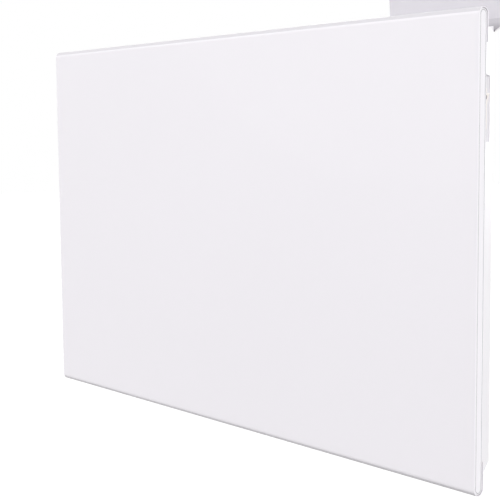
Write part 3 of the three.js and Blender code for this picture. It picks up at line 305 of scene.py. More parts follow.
def makeSheetLines():  # rolling lines and zinc flowers of bare sheet metal
    inputs = {"Stretch": 0.04, "Line Scale": 2500.0, "Flower Scale": 160.0}
    tree, given, result = effectGroup("sheetLines", inputs, {"Lines": "Float", "Flowers": "Float"})
    drawn = vectorMaths(tree, "MULTIPLY", given["Where"], triple(tree, given["Stretch"], 1.0, 1.0))
    tree.links.new(noise(tree, drawn, given["Line Scale"]), result["Lines"])
    cells = tree.nodes.new("ShaderNodeTexVoronoi")
    tree.links.new(given["Where"], cells.inputs["Vector"])
    tree.links.new(given["Flower Scale"], cells.inputs["Scale"])
    grey = tree.nodes.new("ShaderNodeSeparateColor")
    tree.links.new(cells.outputs["Color"], grey.inputs[0])
    tree.links.new(grey.outputs[0], result["Flowers"])
    return tree


def makeLightHalo():  # painted glow: light from each of the evenly spaced lights painted onto the fascia round it
    inputs = {"First X": 0.0, "Pitch": 0.01, "Count": 6.0, "Row Y": 0.0, "Reach": 0.004, "Falloff": 1.6}
    tree, given, result = effectGroup("lightHalo", inputs, {"Mask": "Float"})
    plus, minus, times, over = sums(tree)
    steps = over(minus(given["First X"], partOf(tree, given["Where"], 0)), given["Pitch"])
    nearest = maths(tree, "MAXIMUM", maths(tree, "ROUND", steps), 0.0)
    nearest = maths(tree, "MINIMUM", nearest, minus(given["Count"], 1.0))
    alongX = times(minus(steps, nearest), given["Pitch"])
    alongY = minus(partOf(tree, given["Where"], 1), given["Row Y"])
    away = maths(tree, "SQRT", plus(times(alongX, alongX), times(alongY, alongY)))
    fade = maths(tree, "MAXIMUM", minus(1.0, over(away, given["Reach"])), 0.0)
    tree.links.new(maths(tree, "POWER", fade, given["Falloff"]), result["Mask"])
    return tree


effects = [makeSurfaceGrain(), makeToneDrift(), makeSheetLines(), makeLightHalo()]
effects = {tree.name: tree for tree in effects}


def placeEffect(tree, name, where, **values):
    node = tree.nodes.new("ShaderNodeGroup")
    node.node_tree = effects[name]
    tree.links.new(where, node.inputs["Where"])
    for label, value in values.items():
        feed(tree, value, node.inputs[label.replace("_", " ")])
    return node.outputs


# finishes, by the record's slot names

finishes = {  # colour, roughness, scale and depth in mm of the grain, and what else it has; the colours for marked and deep faces are painted shade
    # painted shade: grey on the panel's half-round edges
    "panel_paint": ((241, 238, 243), 0.46, 900, 0.016, {"marked": (219, 216, 221), "coat": 0.05}),
    # painted shade: near-black inside the casing and under the grille
    "casing_paint": ((238, 235, 240), 0.42, 900, 0.02, {"marked": (34, 30, 34)}),
    # painted shade: dark in the channels, seams and gaps of the mouldings
    "white_moulding": ((239, 237, 241), 0.44, 1800, 0.012, {"marked": (48, 44, 50)}),
    # painted shade: dark on the plate's walls and in the gaps round the keys
    "fascia_moulding": ((240, 240, 244), 0.4, 2600, 0.01, {"marked": (84, 80, 87)}),
    # painted shade: dark round the key's rim
    "key_moulding": ((247, 246, 249), 0.38, 2400, 0.006, {"marked": (84, 80, 87)}),
    "rocker_moulding": ((243, 237, 234), 0.26, 1500, 0.005, {"coat": 0.3}),
    "smoked_lens": ((64, 60, 70), 0.1, 700, 0.001, {"coat": 0.8}),
    "clear_guide": ((38, 34, 66), 0.15, 900, 0.002, {"glow": ((70, 62, 150), 0.12)}),
    "dark_plastic": ((44, 45, 49), 0.55, 1800, 0.02),
    "circuit_board": ((40, 98, 62), 0.45, 1200, 0.03, {"coat": 0.3}),
    "zinc_steel": ((188, 191, 195), 0.4, 1500, 0.006, {"metal": 0.92}),
    "bare_aluminium": ((203, 205, 208), 0.36, 1500, 0.006, {"metal": 0.95}),
    "silicone": ((146, 80, 62), 0.68, 2200, 0.02),
    # painted shade: grey on the flap's inner side and a dark line along its roll
    "flapMoulding": ((239, 237, 241), 0.44, 1800, 0.012, {"marked": (214, 211, 217), "deep": (48, 44, 50)}),
    # painted shade: dark steel for the parts that lie in shadow inside the casing
    "shadedSteel": ((56, 53, 57), 0.6, 1500, 0.006, {"metal": 0.5}),
    "printInk": ((46, 45, 50), 0.5, 5000, 0.004),
    "paleInk": ((122, 121, 128), 0.5, 5000, 0.004),
    "displayDigits": ((104, 99, 140), 0.35, 4000, 0.002, {"glow": ((128, 122, 180), 0.35)}),
    "displayBar": ((112, 105, 150), 0.35, 4000, 0.002, {"glow": ((134, 126, 196), 0.5)}),
    "displayField": ((66, 61, 88), 0.25, 4000, 0.002, {"glow": ((62, 56, 112), 0.3)}),
}

everyFinish = {"tone": 0.012, "toneScale": 5.0, "gloss": 0.045, "smudgeScale": 24.0, "fineGrain": 3.7,
              "flowers": (0.86, 1.08)}


def makeFinish(name, tint, roughness, scale, depth, extras=()):
    material = bpy.data.materials.new(name)
    material.use_nodes = True
    tree = material.node_tree
    shader = tree.nodes["Principled BSDF"].inputs
    where = tree.nodes.new("ShaderNodeTexCoord").outputs["Object"]
    drift = placeEffect(tree, "toneDrift", where, Colour=shade(*tint), Roughness=roughness,
                        Tone_Drift=everyFinish["tone"], Drift_Scale=everyFinish["toneScale"],
                        Gloss_Drift=everyFinish["gloss"], Smudge_Scale=everyFinish["smudgeScale"])
    grain = placeEffect(tree, "surfaceGrain", where, Coarse_Scale=float(scale),
                        Fine_Scale=scale * everyFinish["fineGrain"])
    colour, height, extras = drift["Colour"], grain["Height"], dict(extras)
    if "metal" in extras:
        sheet = placeEffect(tree, "sheetLines", where)
        flowers = fromTo(tree, sheet["Flowers"], *everyFinish["flowers"])
        colour = vectorMaths(tree, "SCALE", colour, flowers)
        height = maths(tree, "ADD", height, sheet["Lines"])
        shader["Metallic"].default_value = extras["metal"]
    # painted shade mixed into the colour where the mesh is marked
    if "marked" in extras:
        share = tree.nodes.new("ShaderNodeAttribute")
        share.attribute_name = "marked"
        colour = mixed(tree, share.outputs["Fac"], colour, shade(*extras["marked"]))
        # painted shadow, darkest, where the value goes past 1
        if "deep" in extras:
            beyond = maths(tree, "SUBTRACT", share.outputs["Fac"], 1.0)
            colour = mixed(tree, beyond, colour, shade(*extras["deep"]))
    bump = tree.nodes.new("ShaderNodeBump")
    bump.inputs["Distance"].default_value = depth * mm
    tree.links.new(height, bump.inputs["Height"])
    tree.links.new(colour, shader["Base Color"])
    tree.links.new(drift["Roughness"], shader["Roughness"])
    tree.links.new(bump.outputs[0], shader["Normal"])
    shader["Coat Weight"].default_value = extras.get("coat", 0)
    if "glow" in extras:
        glow, strength = extras["glow"]
        shader["Emission Color"].default_value = shade(*glow)
        shader["Emission Strength"].default_value = strength
    return material


materials = {name: makeFinish(name, *look) for name, look in finishes.items()}
print("finishes made:", len(materials))


# ways of making a mesh

def meshObject(name, bm):
    bmesh.ops.recalc_face_normals(bm, faces=bm.faces)
    mesh = bpy.data.meshes.new(name)
    bm.to_mesh(mesh)
    bm.free()
    return addObject(name, mesh)


def flattenModifiers(obj):  # the evaluated mesh takes the place of the object's own
    bpy.context.view_layer.update()
    evaluated = obj.evaluated_get(bpy.context.evaluated_depsgraph_get())
    mesh = bpy.data.meshes.new_from_object(evaluated)
    obj.modifiers.clear()
    obj.data = mesh
    return obj


def smoothBelow(obj, angle=32):  # smooth shading, kept sharp at real edges
    obj.data.shade_smooth()
    obj.data.set_sharp_from_angle(angle=math.radians(angle))
    return obj


def evenShading(obj):  # normals follow the large faces, so that flat walls stay flat
    smoothBelow(obj)
    weighted = obj.modifiers.new("evenShading", "WEIGHTED_NORMAL")
    weighted.keep_sharp = True
    return flattenModifiers(obj)


def softenEdges(obj, width, segments=2, angle=38):
    bevel = obj.modifiers.new("softEdges", "BEVEL")
    bevel.width = width
    bevel.segments = segments
    bevel.limit_method = "ANGLE"
    bevel.angle_limit = math.radians(angle)
    bevel.use_clamp_overlap = True
    bevel.miter_outer = "MITER_ARC"
    return evenShading(flattenModifiers(obj))


def paintShade(obj, test):  # painted shade: marked faces take the second, darker colour of their finish, and at 2 the third
    layer = obj.data.attributes.new("marked", "FLOAT", "FACE")
    layer.data.foreach_set("value", [float(test(face.center, face.normal)) for face in obj.data.polygons])
    return obj


def band(bm, near, far):  # faces between two loops of points
    for i in range(len(near)):
        j = (i + 1) % len(near)
        bm.faces.new((near[i], far[i], far[j], near[j]))


def shell(bm, rings):  # each loop joined to the next, and the last to the first
    for near, far in zip(rings, rings[1:] + rings[:1]):
        band(bm, near, far)


def prism(bm, loop, place):  # a solid between two copies of a loop, each set by a function
    near = [bm.verts.new(place(p, 0)) for p in loop]
    far = [bm.verts.new(place(p, 1)) for p in loop]
    bm.faces.new(near)
    bm.faces.new(reversed(far))
    band(bm, near, far)


def arc(centre, radius, start, end, steps):
    turns = [math.radians(start + (end - start) * i / steps) for i in range(steps + 1)]
    return [(centre[0] + radius * math.cos(t), centre[1] + radius * math.sin(t)) for t in turns]


def alongX(bm, loop, fromX, toX):
    prism(bm, loop, lambda p, end: (toX if end else fromX, p[0], p[1]))


def alongZ(bm, loop, fromZ, toZ):
    prism(bm, loop, lambda p, end: (p[0], p[1], toZ if end else fromZ))


def turned(bm, profile, sides, place=Matrix.Identity(4)):  # radii and heights spun about the Z axis
    rings = []
    for radius, height in profile:
        if radius == 0:
            rings.append([bm.verts.new(place @ Vector((0, 0, height)))])
            continue
        turns = [2 * math.pi * i / sides for i in range(sides)]
        points = [Vector((radius * math.cos(t), radius * math.sin(t), height)) for t in turns]
        rings.append([bm.verts.new(place @ p) for p in points])
    for low, high in zip(rings, rings[1:]):
        for i in range(sides):
            j = (i + 1) % sides
            face = [low[i % len(low)], low[j % len(low)], high[j % len(high)], high[i % len(high)]]
            bm.faces.new([v for k, v in enumerate(face) if v not in face[:k]])
    if len(rings[0]) > 1 and len(rings[-1]) > 1:  # a profile that closes on itself
        band(bm, rings[-1], rings[0])


def roundedLoop(x, y, halfX, halfY, radius, steps=6):  # points and outward directions of a rounded box
    loop = []
    for turn, (signX, signY) in enumerate(((1, 1), (-1, 1), (-1, -1), (1, -1))):
        centre = (x + signX * (halfX - radius), y + signY * (halfY - radius))
        for i in range(steps + 1):
            t = math.radians(90 * (turn + i / steps))
            out = (math.cos(t), math.sin(t))
            loop.append((centre[0] + radius * out[0], centre[1] + radius * out[1], *out))
    return loop


def lipRing(bm, loop, profile):  # a closed profile of (outward, height) carried round a loop
    shell(bm, [[bm.verts.new((x + nx * out, y + ny * out, z)) for out, z in profile]
               for x, y, nx, ny in loop])


def stroke(bm, points, width, heightAt, closed=False, thickness=0.05 * mm):  # a printed line
    points = [Vector(point) for point in points]
    count, rings = len(points), []
    for i, point in enumerate(points):
        before = points[i - 1] if i or closed else point
        after = points[(i + 1) % count] if i + 1 < count or closed else point
        incoming = (point - before).normalized()
        outgoing = (after - point).normalized()
        direction = (incoming + outgoing).normalized()
        lean = max(0.5, abs(direction.dot(outgoing if outgoing.length else incoming)))
        across = Vector((-direction.y, direction.x)) * width / 2 / lean
        corners = [(point + across, 1), (point - across, 1), (point - across, -1), (point + across, -1)]
        rings.append([bm.verts.new((p.x, p.y, heightAt(p.x, p.y) + s * thickness / 2)) for p, s in corners])
    if closed:
        shell(bm, rings)
        return
    for near, far in zip(rings, rings[1:]):
        band(bm, near, far)
    for end in (rings[0], rings[-1]):
        bm.faces.new(end)


def plate(name, loops, lowZ, highZ, softness):  # a filled outline with holes and rounded edges
    curve = bpy.data.curves.new(name, "CURVE")
    curve.dimensions = "2D"
    curve.fill_mode = "BOTH"
    curve.bevel_depth = softness
    curve.bevel_resolution = 2
    curve.offset = -softness
    curve.extrude = (highZ - lowZ) / 2 - softness
    for loop in loops:
        spline = curve.splines.new("POLY")
        spline.points.add(len(loop) - 1)
        for point, (x, y) in zip(spline.points, loop):
            point.co = (x, y, 0, 1)
        spline.use_cyclic_u = True
    drawn = addObject(name, curve)
    bpy.context.view_layer.update()
    mesh = bpy.data.meshes.new_from_object(drawn.evaluated_get(bpy.context.evaluated_depsgraph_get()))
    bpy.data.objects.remove(drawn)
    bm = bmesh.new()
    bm.from_mesh(mesh)
    bmesh.ops.translate(bm, verts=bm.verts, vec=(0, 0, (highZ + lowZ) / 2))
    bmesh.ops.remove_doubles(bm, verts=bm.verts, dist=mergeWithin)
    return bm


def carve(obj, bm):  # cuts a closed mesh out of a piece
    cutter = meshObject("cutter", bm)
    cut = obj.modifiers.new("cut", "BOOLEAN")
    cut.operation = "DIFFERENCE"
    cut.solver = "EXACT"
    cut.object = cutter
    flattenModifiers(obj)
    bpy.data.objects.remove(cutter)
    return obj


def joinMeshes(obj, *others):
    bm = bmesh.new()
    bm.from_mesh(obj.data)
    for other in others:
        bm.from_mesh(other.data)
        bpy.data.objects.remove(other)
    bm.to_mesh(obj.data)
    bm.free()
    return obj


def fit(obj, body, slot, *replaced, finish=None):  # finish, body, slot and the nodes it stands for
    obj.data.materials.clear()
    obj.data.materials.append(materials[finish or slot])
    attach(obj, body)
    if replaced:
        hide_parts(*replaced)
    return obj


def standFor(obj, *names, finish=None):
    return fit(obj, bodyOf[names[0]], slotOf[names[0]], *names, finish=finish)


# sheet metal and mouldings whose solid has the right form get rounded edges

softened = {  # node: width of the rounding in millimetres
    "rear_casing": 0.3,
    "left_side_cover": 0.5,
    "right_side_cover": 0.5,
    "control_flap": 0.35,
    "control_housing": 0.3,
    "switch_body": 0.4,
    "switch_rocker": 0.35,
    "wall_bracket": 0.4,
    "terminal_block": 0.3,
    "sensor_holder": 0.3,
}
# the flap's finish carries its painted shade
softFinish = {"control_flap": "flapMoulding"}

# painted shade: parts of a piece that get another, darker colour of their finish where shade falls, from 0 to
# 1, or up to 2 for the deepest

facing = 0.5  # a face looks one way when this much of its normal does
recess = {"y": (-57 * mm, -32 * mm), "z": (22 * mm, 78 * mm), "facing": 0.95, "shade": 0.17}  # its floor, with its painted shade
trough = inMm(front=1, depth=4, clear=0.5, rim=0.4)
flapRoll = {"reach": 2.6 * mm, "inner": 0.3, "shade": 0.5, "fade": 14 * mm}
casingSheet = 0.4 * mm
fasciaLow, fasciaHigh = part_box("control_fascia")
casingLow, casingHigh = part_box("rear_casing")


def shadeInTrough(place, normal):  # painted shade on the recess's floor, in the channel that the flap turns in and on the hidden rim seen through the gap
    (nearY, farY), (lowZ, highZ) = recess["y"], recess["z"]
    if normal.x > recess["facing"] and nearY < place.y < farY and lowZ < place.z < highZ:
        return recess["shade"]
    deep = fasciaHigh.z - trough["depth"] < place.z < fasciaHigh.z - trough["clear"]
    inward = normal.z > facing or normal.x < -facing
    hiddenRim = place.y < fasciaLow.y + trough["rim"] and normal.y < -facing
    return hiddenRim or deep and inward and place.y > fasciaHigh.y - trough["front"]


# painted shade: the inside of the casing is darkened, as it lies in shadow
def shadeInCasing(place, normal):
    return place.y < casingHigh.y - casingSheet and place.z > casingLow.z + casingSheet


def shadeOnFlapInside(place, normal):  # painted shade on the inner side of the open flap, with the roll's edge that closes the channel as 2, a painted dark line
    edge = place.y < fasciaHigh.y + flapRoll["reach"] and normal.y < -facing
    if edge or normal.z - normal.y < flapRoll["inner"]:
        return 2 * edge
    rise = (place.z - fasciaHigh.z) / flapRoll["fade"]  # painted shade, darker into the roll
    return 1 + flapRoll["shade"] * min(max(1 - rise, 0), 1)


shaded = {"right_side_cover": shadeInTrough, "control_housing": shadeInTrough, "rear_casing": shadeInCasing,
          "control_flap": shadeOnFlapInside}


def pointsOf(name, test=lambda point: True):
    return [v.co for v in nodes[name].data.vertices if test(v.co)]


def softCopy(name, width):
    bm = bmesh.new()
    bm.from_mesh(nodes[name].data)
    bmesh.ops.remove_doubles(bm, verts=bm.verts, dist=mergeWithin)
    bmesh.ops.dissolve_limit(bm, angle_limit=math.radians(1), verts=bm.verts, edges=bm.edges)
    obj = softenEdges(meshObject(name + "_soft", bm), width * mm)
    if name in shaded:
        paintShade(obj, shaded[name])
    standFor(obj, name, finish=softFinish.get(name))


for name, width in softened.items():
    softCopy(name, width)
print("edges rounded on", len(softened), "pieces")


# front panel: a folded sheet with half-round long edges

panel = {**inMm(fold=22, sheet=1, softness=0.3), "arcSteps": 24, "shadedFrom": 20}


def makeFrontPanel():
    low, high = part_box("front_panel")
    outer = (high.y - low.y) / 2
    inner = outer - panel["sheet"]
    middleY = (high.y + low.y) / 2
    topZ, lowZ = high.z - outer, low.z + outer
    inY = high.y - panel["sheet"]
    steps = panel["arcSteps"]
    section = [(high.y, topZ - panel["fold"])]
    section += arc((middleY, topZ), outer, 0, 180, steps)
    section += arc((middleY, lowZ), outer, 180, 360, steps)
    section += [(high.y, lowZ + panel["fold"]), (inY, lowZ + panel["fold"])]
    section += arc((middleY, lowZ), inner, 360, 180, steps)
    section += arc((middleY, topZ), inner, 180, 0, steps)
    section += [(inY, topZ - panel["fold"])]
    bm = bmesh.new()
    alongX(bm, section, low.x, high.x)
    obj = softenEdges(meshObject("front_sheet", bm), panel["softness"])
    turn = math.sin(math.radians(panel["shadedFrom"]))
    # painted shade: the half-round edges, where they turn up or down, take the panel's grey
    def shadeOnRounds(place, normal):
        return not lowZ < place.z < topZ and abs(normal.z) > turn
    standFor(paintShade(obj, shadeOnRounds), "front_panel")


makeFrontPanel()


# end caps: a plate with a skirt and a shallow groove along it

endCap = {**inMm(plate=2.5, wall=1.5, grooveWidth=0.8, grooveDepth=0.4, grooveFromEnd=4, softness=0.35,
          seamInset=1.1, seamWidth=0.3, seamDepth=0.5, seamSlack=0.05, seamMouth=0.1), "arcSteps": 16,
          "grooveAcross": 0.5, "seamShade": 0.8}


def ringSolid(bm, outer, inner, fromX, toX):
    corners = ((outer, fromX), (outer, toX), (inner, toX), (inner, fromX))
    shell(bm, [[bm.verts.new((x, y, z)) for y, z in loop] for loop, x in corners])


def makeEndCap(node):
    low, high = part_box(node)
    side = 1 if high.x > 0 else -1
    outerX, skirtX = (high.x, low.x) if side > 0 else (low.x, high.x)
    radius = (high.y - low.y) / 2
    middleY = (high.y + low.y) / 2
    def stadium(r):
        ends = ((high.z - radius, 0), (low.z + radius, 180))
        return [p for z, start in ends for p in arc((middleY, z), r, start, start + 180, endCap["arcSteps"])]
    bm = bmesh.new()
    alongX(bm, stadium(radius), outerX, skirtX)
    obj = meshObject(node + "_cover", bm)
    hollow = bmesh.new()
    alongX(hollow, stadium(radius - endCap["wall"]), outerX - side * endCap["plate"], skirtX - side * radius)
    carve(obj, hollow)
    groove = bmesh.new()
    grooveY = middleY + radius * endCap["grooveAcross"]
    halfZ = (high.z - low.z) / 2 - radius - endCap["grooveFromEnd"]
    line = boxRound(grooveY, (low.z + high.z) / 2, endCap["grooveWidth"] / 2, halfZ)
    alongX(groove, line, outerX + side * radius, outerX - side * endCap["grooveDepth"])
    carve(obj, groove)
    softenEdges(obj, endCap["softness"])
    seam = bmesh.new()
    wide = radius - endCap["seamInset"]
    narrow = wide - endCap["seamWidth"]
    floorX = outerX - side * endCap["seamDepth"]
    ringSolid(seam, stadium(wide), stadium(narrow), outerX + side * radius, floorX)
    carve(obj, seam)
    slack, mouth = endCap["seamSlack"], endCap["seamMouth"]
    # painted shade in the seam between the sheet and the cap
    def shadeInSeam(place, normal):
        beyondZ = place.z - min(max(place.z, low.z + radius), high.z - radius)
        away = math.hypot(place.y - middleY, beyondZ)
        deep = side * (outerX - place.x)
        near = narrow - slack < away < wide + slack and mouth < deep < endCap["seamDepth"] + mouth
        return endCap["seamShade"] * near
    standFor(paintShade(evenShading(obj), shadeInSeam), node)


for name in ("panel_end_cap_left", "panel_end_cap_right"):
    makeEndCap(name)
print("front panel and end caps made")


# keys: dished caps with a flange and a stem below

key = {**inMm(radius=7, rounding=0.6, dish=0.3, flangeOut=0.9, flange=1, stemRadius=2, stem=3,
       shadow=0.13), "sides": 48, "dishSteps": 6}


def middleOf(name):
    low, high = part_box(name)
    return (low.x + high.x) / 2, (low.y + high.y) / 2


def dishedAt(name):  # height of a key's dished top at a point
    x, y = middleOf(name)
    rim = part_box(name)[1].z
    reach = key["radius"] - key["rounding"]
    return lambda px, py: rim - key["dish"] * max(0, 1 - ((px - x) ** 2 + (py - y) ** 2) / reach ** 2)


def makeKey(name):
    low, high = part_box(name)
    x, y = middleOf(name)
    reach = key["radius"] - key["rounding"]
    flangeZ = low.z + key["stem"]
    wide = key["radius"] + key["flangeOut"]
    profile = [(0, low.z), (key["stemRadius"], low.z), (key["stemRadius"], flangeZ), (wide, flangeZ)]
    profile += [(wide, flangeZ + key["flange"]), (key["radius"], flangeZ + key["flange"])]
    profile += arc((reach, high.z - key["rounding"]), key["rounding"], 0, 90, 6)
    for i in range(1, key["dishSteps"] + 1):
        share = 1 - i / key["dishSteps"]
        profile.append((reach * share, high.z - key["dish"] * (1 - share ** 2)))
    bm = bmesh.new()
    turned(bm, profile, key["sides"], Matrix.Translation((x, y, 0)))
    obj = smoothBelow(meshObject(name + "_cap", bm), 40)
    # painted shade on the outer edge of each key, for the gap round it
    rim = key["radius"] - key["shadow"]
    paintShade(obj, lambda place, normal: math.hypot(place.x - x, place.y - y) > rim)
    standFor(obj, name)


sign = inMm(ring=4.5, line=1.05, thin=0.8, bar=4.4, dot=0.5, boxHalfX=3.4, boxHalfY=4.1, waveX=1.9,
            waveY=1.6, lead=1.4, turn=3.8, arrow=1.6, lockHalf=1.2)


def circle(x, y, radius, start=0, end=360, steps=32):
    closed = end - start == 360
    return arc((x, y), radius, start, end - (360 / steps if closed else 0), steps - closed)


def signStrokes(name):  # points, line width and whether the line closes
    x, y = middleOf(name)
    line, thin, bar, dot = (sign[k] for k in ("line", "thin", "bar", "dot"))
    alongKey, acrossKey = [(x - bar, y), (x + bar, y)], [(x, y - bar), (x, y + bar)]
    boxX, boxY = sign["boxHalfX"], sign["boxHalfY"]
    waveX, waveY = sign["waveX"], sign["waveY"]
    wave = [(0, -2 * waveY - sign["lead"]), (0, -2 * waveY), (-waveX, -waveY), (waveX, 0), (-waveX, waveY)]
    wave += [(0, 2 * waveY), (0, 2 * waveY + sign["lead"])]
    turn, arrow = sign["turn"], sign["arrow"]
    head = [(x - arrow, y + turn), (x, y + turn), (x, y + turn - arrow)]
    return {
        "key_power": [(circle(x, y, sign["ring"]), line, True), (circle(x, y, dot / 2, steps=12), dot, True)],
        "key_minus": [(alongKey, line, False)],
        "key_plus": [(alongKey, line, False), (acrossKey, line, False)],
        "key_timer": [
            (boxRound(x, y, boxX, boxY), thin, True),
            ([(x - boxX, y), (x + boxX, y)], thin, False),
            ([(x + boxX / 2, y - boxY), (x + boxX / 2, y + boxY)], line, False)],
        "key_mode": [([(x + dx, y + dy) for dx, dy in wave], thin, False)],
        "key_lock": [
            (circle(x, y, turn, 90, 380), line, False),
            (head, line, False),
            (boxRound(x, y, sign["lockHalf"], sign["lockHalf"] * 1.3), thin, True)],
    }[name]


keyNames = ["key_power", "key_minus", "key_plus", "key_timer", "key_mode", "key_lock"]
for name in keyNames:
    makeKey(name)
    bm = bmesh.new()
    for points, width, closed in signStrokes(name):
        stroke(bm, points, width, dishedAt(name), closed)
    fit(smoothBelow(meshObject(name + "_sign", bm)), bodyOf[name], "dark_plastic", finish="printInk")
print("keys made:", len(keyNames))


# control fascia: a plate with the openings, raised lips round them and printed marks

fascia = {**inMm(keyHole=7.4, lightHole=1.3, windowGap=0.3, windowCorner=1.2, lipHeight=0.3, lipWidth=0.6,
          lipInset=0.02, lipLap=0.05, lipRoot=1, rimWidth=1.1, rimChamfer=0.6, rimRoot=0.5, softness=0.25,
          thickness=2.5, sleeve=3.5, sleeveWall=1, sleeveRoot=0.2, shadow=0.2, haloReach=4.2),
          # upright: faces this steep get painted shade; halo: colour of the painted glow round the lights
          "upright": 0.3, "halo": (196, 190, 238), "keySteps": 14, "lightSteps": 6}
lights = {**inMm(pitch=11.25, radius=1, barHeight=2.5, barHalf=2, barBelow=0.3, dome=0.4), "count": 6,
          "sides": 20}
window = inMm(flange=1.5, flangeHeight=1, corner=1, softness=0.2)

topZ = fasciaHigh.z - fascia["lipHeight"]
windowLow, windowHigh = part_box("display_window")
windowX, windowY = (windowLow.x + windowHigh.x) / 2, (windowLow.y + windowHigh.y) / 2
windowHalfX = (windowHigh.x - windowLow.x) / 2 - window["flange"]
windowHalfY = (windowHigh.y - windowLow.y) / 2 - window["flange"]
guideLow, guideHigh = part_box("light_guide")
lightY = (guideLow.y + guideHigh.y) / 2
firstLightX = guideHigh.x - lights["barHalf"]
lightXs = [firstLightX - i * lights["pitch"] for i in range(lights["count"])]


def fasciaOutline():  # the plate narrows towards the wall at its right-hand end
    top = pointsOf("control_fascia", lambda p: p.z > topZ - sameWithin)
    rearX = max(p.x for p in top if p.y > fasciaHigh.y - sameWithin)
    near, far = fasciaHigh.x, fasciaLow.x
    return [(far, fasciaLow.y), (near, fasciaLow.y), (rearX, fasciaHigh.y), (far, fasciaHigh.y)]


def ringHole(x, y, radius, steps):
    return roundedLoop(x, y, radius, radius, radius, steps)


def makeFascia():
    rings = [ringHole(*middleOf(name), fascia["keyHole"], fascia["keySteps"]) for name in keyNames]
    holes = [ringHole(x, lightY, fascia["lightHole"], fascia["lightSteps"]) for x in lightXs]
    gap = fascia["windowGap"]
    opening = roundedLoop(windowX, windowY, windowHalfX + gap, windowHalfY + gap, fascia["windowCorner"])
    loops = [fasciaOutline()] + [[point[:2] for point in ring[:-1]] for ring in rings + holes + [opening]]
    lowZ = topZ - fascia["thickness"]
    bm = plate("fascia", loops, lowZ, topZ, fascia["softness"])
    lip, inset, root, rise = (fascia[k] for k in ("lipWidth", "lipInset", "lipRoot", "lipHeight"))
    lipProfile = [(inset, topZ - root), (inset, topZ + rise * 0.6), (lip * 0.25, topZ + rise),
                  (lip * 0.6, topZ + rise * 0.8), (lip, topZ - fascia["lipLap"]), (lip, topZ - root)]
    wall, sleeveTop = fascia["sleeveWall"], lowZ + fascia["sleeveRoot"]
    sleeveLow = lowZ - fascia["sleeve"]
    sleeve = [(0, sleeveLow), (0, sleeveTop), (wall, sleeveTop), (wall, sleeveLow)]
    for ring in rings:
        for profile in (lipProfile, sleeve):
            lipRing(bm, dropRepeats(ring), profile)
    rim, chamfer = fascia["rimWidth"], fascia["rimChamfer"]
    rimTop, rimLow = topZ + rise, lowZ + fascia["rimRoot"]
    lipRing(bm, opening, [
        (0, rimLow), (0, rimTop - chamfer), (chamfer * 0.5, rimTop - chamfer * 0.5), (chamfer, rimTop),
        (rim * 0.85, rimTop), (rim, topZ + rise * 0.3), (rim, rimLow)])
    obj = smoothBelow(meshObject("fascia_panel", bm), 30)
    centres = [middleOf(name) for name in keyNames]
    shadow = fascia["keyHole"] + fascia["shadow"]
    def shadeInGaps(place, normal):  # painted shade on the walls of the plate and in the gaps round the keys
        nearest = min(math.hypot(place.x - x, place.y - y) for x, y in centres)
        return abs(normal.z) < fascia["upright"] or nearest < shadow
    standFor(paintShade(obj, shadeInGaps), "control_fascia")
    paintGlowHalo(materials["fascia_moulding"])


def dropRepeats(ring):  # a full circle has each quarter's end twice
    places = [Vector(point[:2]) for point in ring]
    return [point for i, point in enumerate(ring) if (places[i] - places[i - 1]).length > mergeWithin]


# painted glow from the lights, mixed into the fascia's colour
def paintGlowHalo(material):
    tree = material.node_tree
    colour = tree.nodes["Principled BSDF"].inputs["Base Color"]
    where = next(n for n in tree.nodes if n.type == "TEX_COORD").outputs["Object"]
    halo = placeEffect(tree, "lightHalo", where, First_X=firstLightX, Pitch=lights["pitch"],
                       Count=float(lights["count"]), Row_Y=lightY, Reach=fascia["haloReach"])
    tree.links.new(mixed(tree, halo["Mask"], colour.links[0].from_socket, shade(*fascia["halo"])), colour)


makeFascia()


def makeLightGuide():
    barTop = topZ - fascia["thickness"] - lights["barBelow"]
    middleX = (guideLow.x + guideHigh.x) / 2
    bar = boxRound(middleX, lightY, guideHigh.x - middleX, lights["barHalf"])
    radius = lights["radius"]
    bm = bmesh.new()
    alongZ(bm, bar, barTop - lights["barHeight"], barTop)
    pin = [(0, guideLow.z), (radius, guideLow.z)]
    pin += [(radius * across, topZ - lights["dome"] * (1 - up)) for across, up in arc((0, 0), 1, 0, 60, 2)]
    for x in lightXs:
        turned(bm, pin + [(0, topZ)], lights["sides"], Matrix.Translation((x, lightY, 0)))
    standFor(smoothBelow(meshObject("light_pins", bm), 40), "light_guide")


makeLightGuide()


def makeWindow():
    wide, flangeTop = window["flange"], windowLow.z + window["flangeHeight"]
    parts = []
    for name, out, top, softness in (("display_lens", 0, windowHigh.z, window["softness"]),
                                     ("flange", wide, flangeTop, window["softness"] / 2)):
        loop = roundedLoop(windowX, windowY, windowHalfX + out, windowHalfY + out, window["corner"])
        bm = plate("outline", [[point[:2] for point in loop]], windowLow.z, top, softness)
        parts.append(meshObject(name, bm))
    standFor(smoothBelow(joinMeshes(*parts)), "display_window")


makeWindow()


display = inMm(digitHeight=8.6, digitWidth=6.2, digitGap=1.7, line=0.95, slit=0.15, farther=2.6,
               barLength=15, barWidth=1.7, barNearer=7, fieldHalfX=8.9, fieldHalfY=8.4, fieldCorner=0.8,
               lift=0.03, sunk=0.05)


def onDisplay(across, up):  # read from the right-hand end: across is +Y and up is -X
    return windowX - up, windowY + across


def markOnDisplay(bm, points, lift):
    top, sunk = windowHigh.z, display["sunk"]
    prism(bm, points, lambda p, high: (*onDisplay(*p), top + (lift if high else -sunk)))


def segment(bm, start, end, line):  # a bar with pointed ends
    start, end = Vector(start), Vector(end)
    along = (end - start).normalized()
    across = Vector((-along.y, along.x)) * line / 2
    tip = along * line / 2
    points = [start, start + tip + across, end - tip + across, end, end - tip - across, start + tip - across]
    markOnDisplay(bm, points, display["lift"])


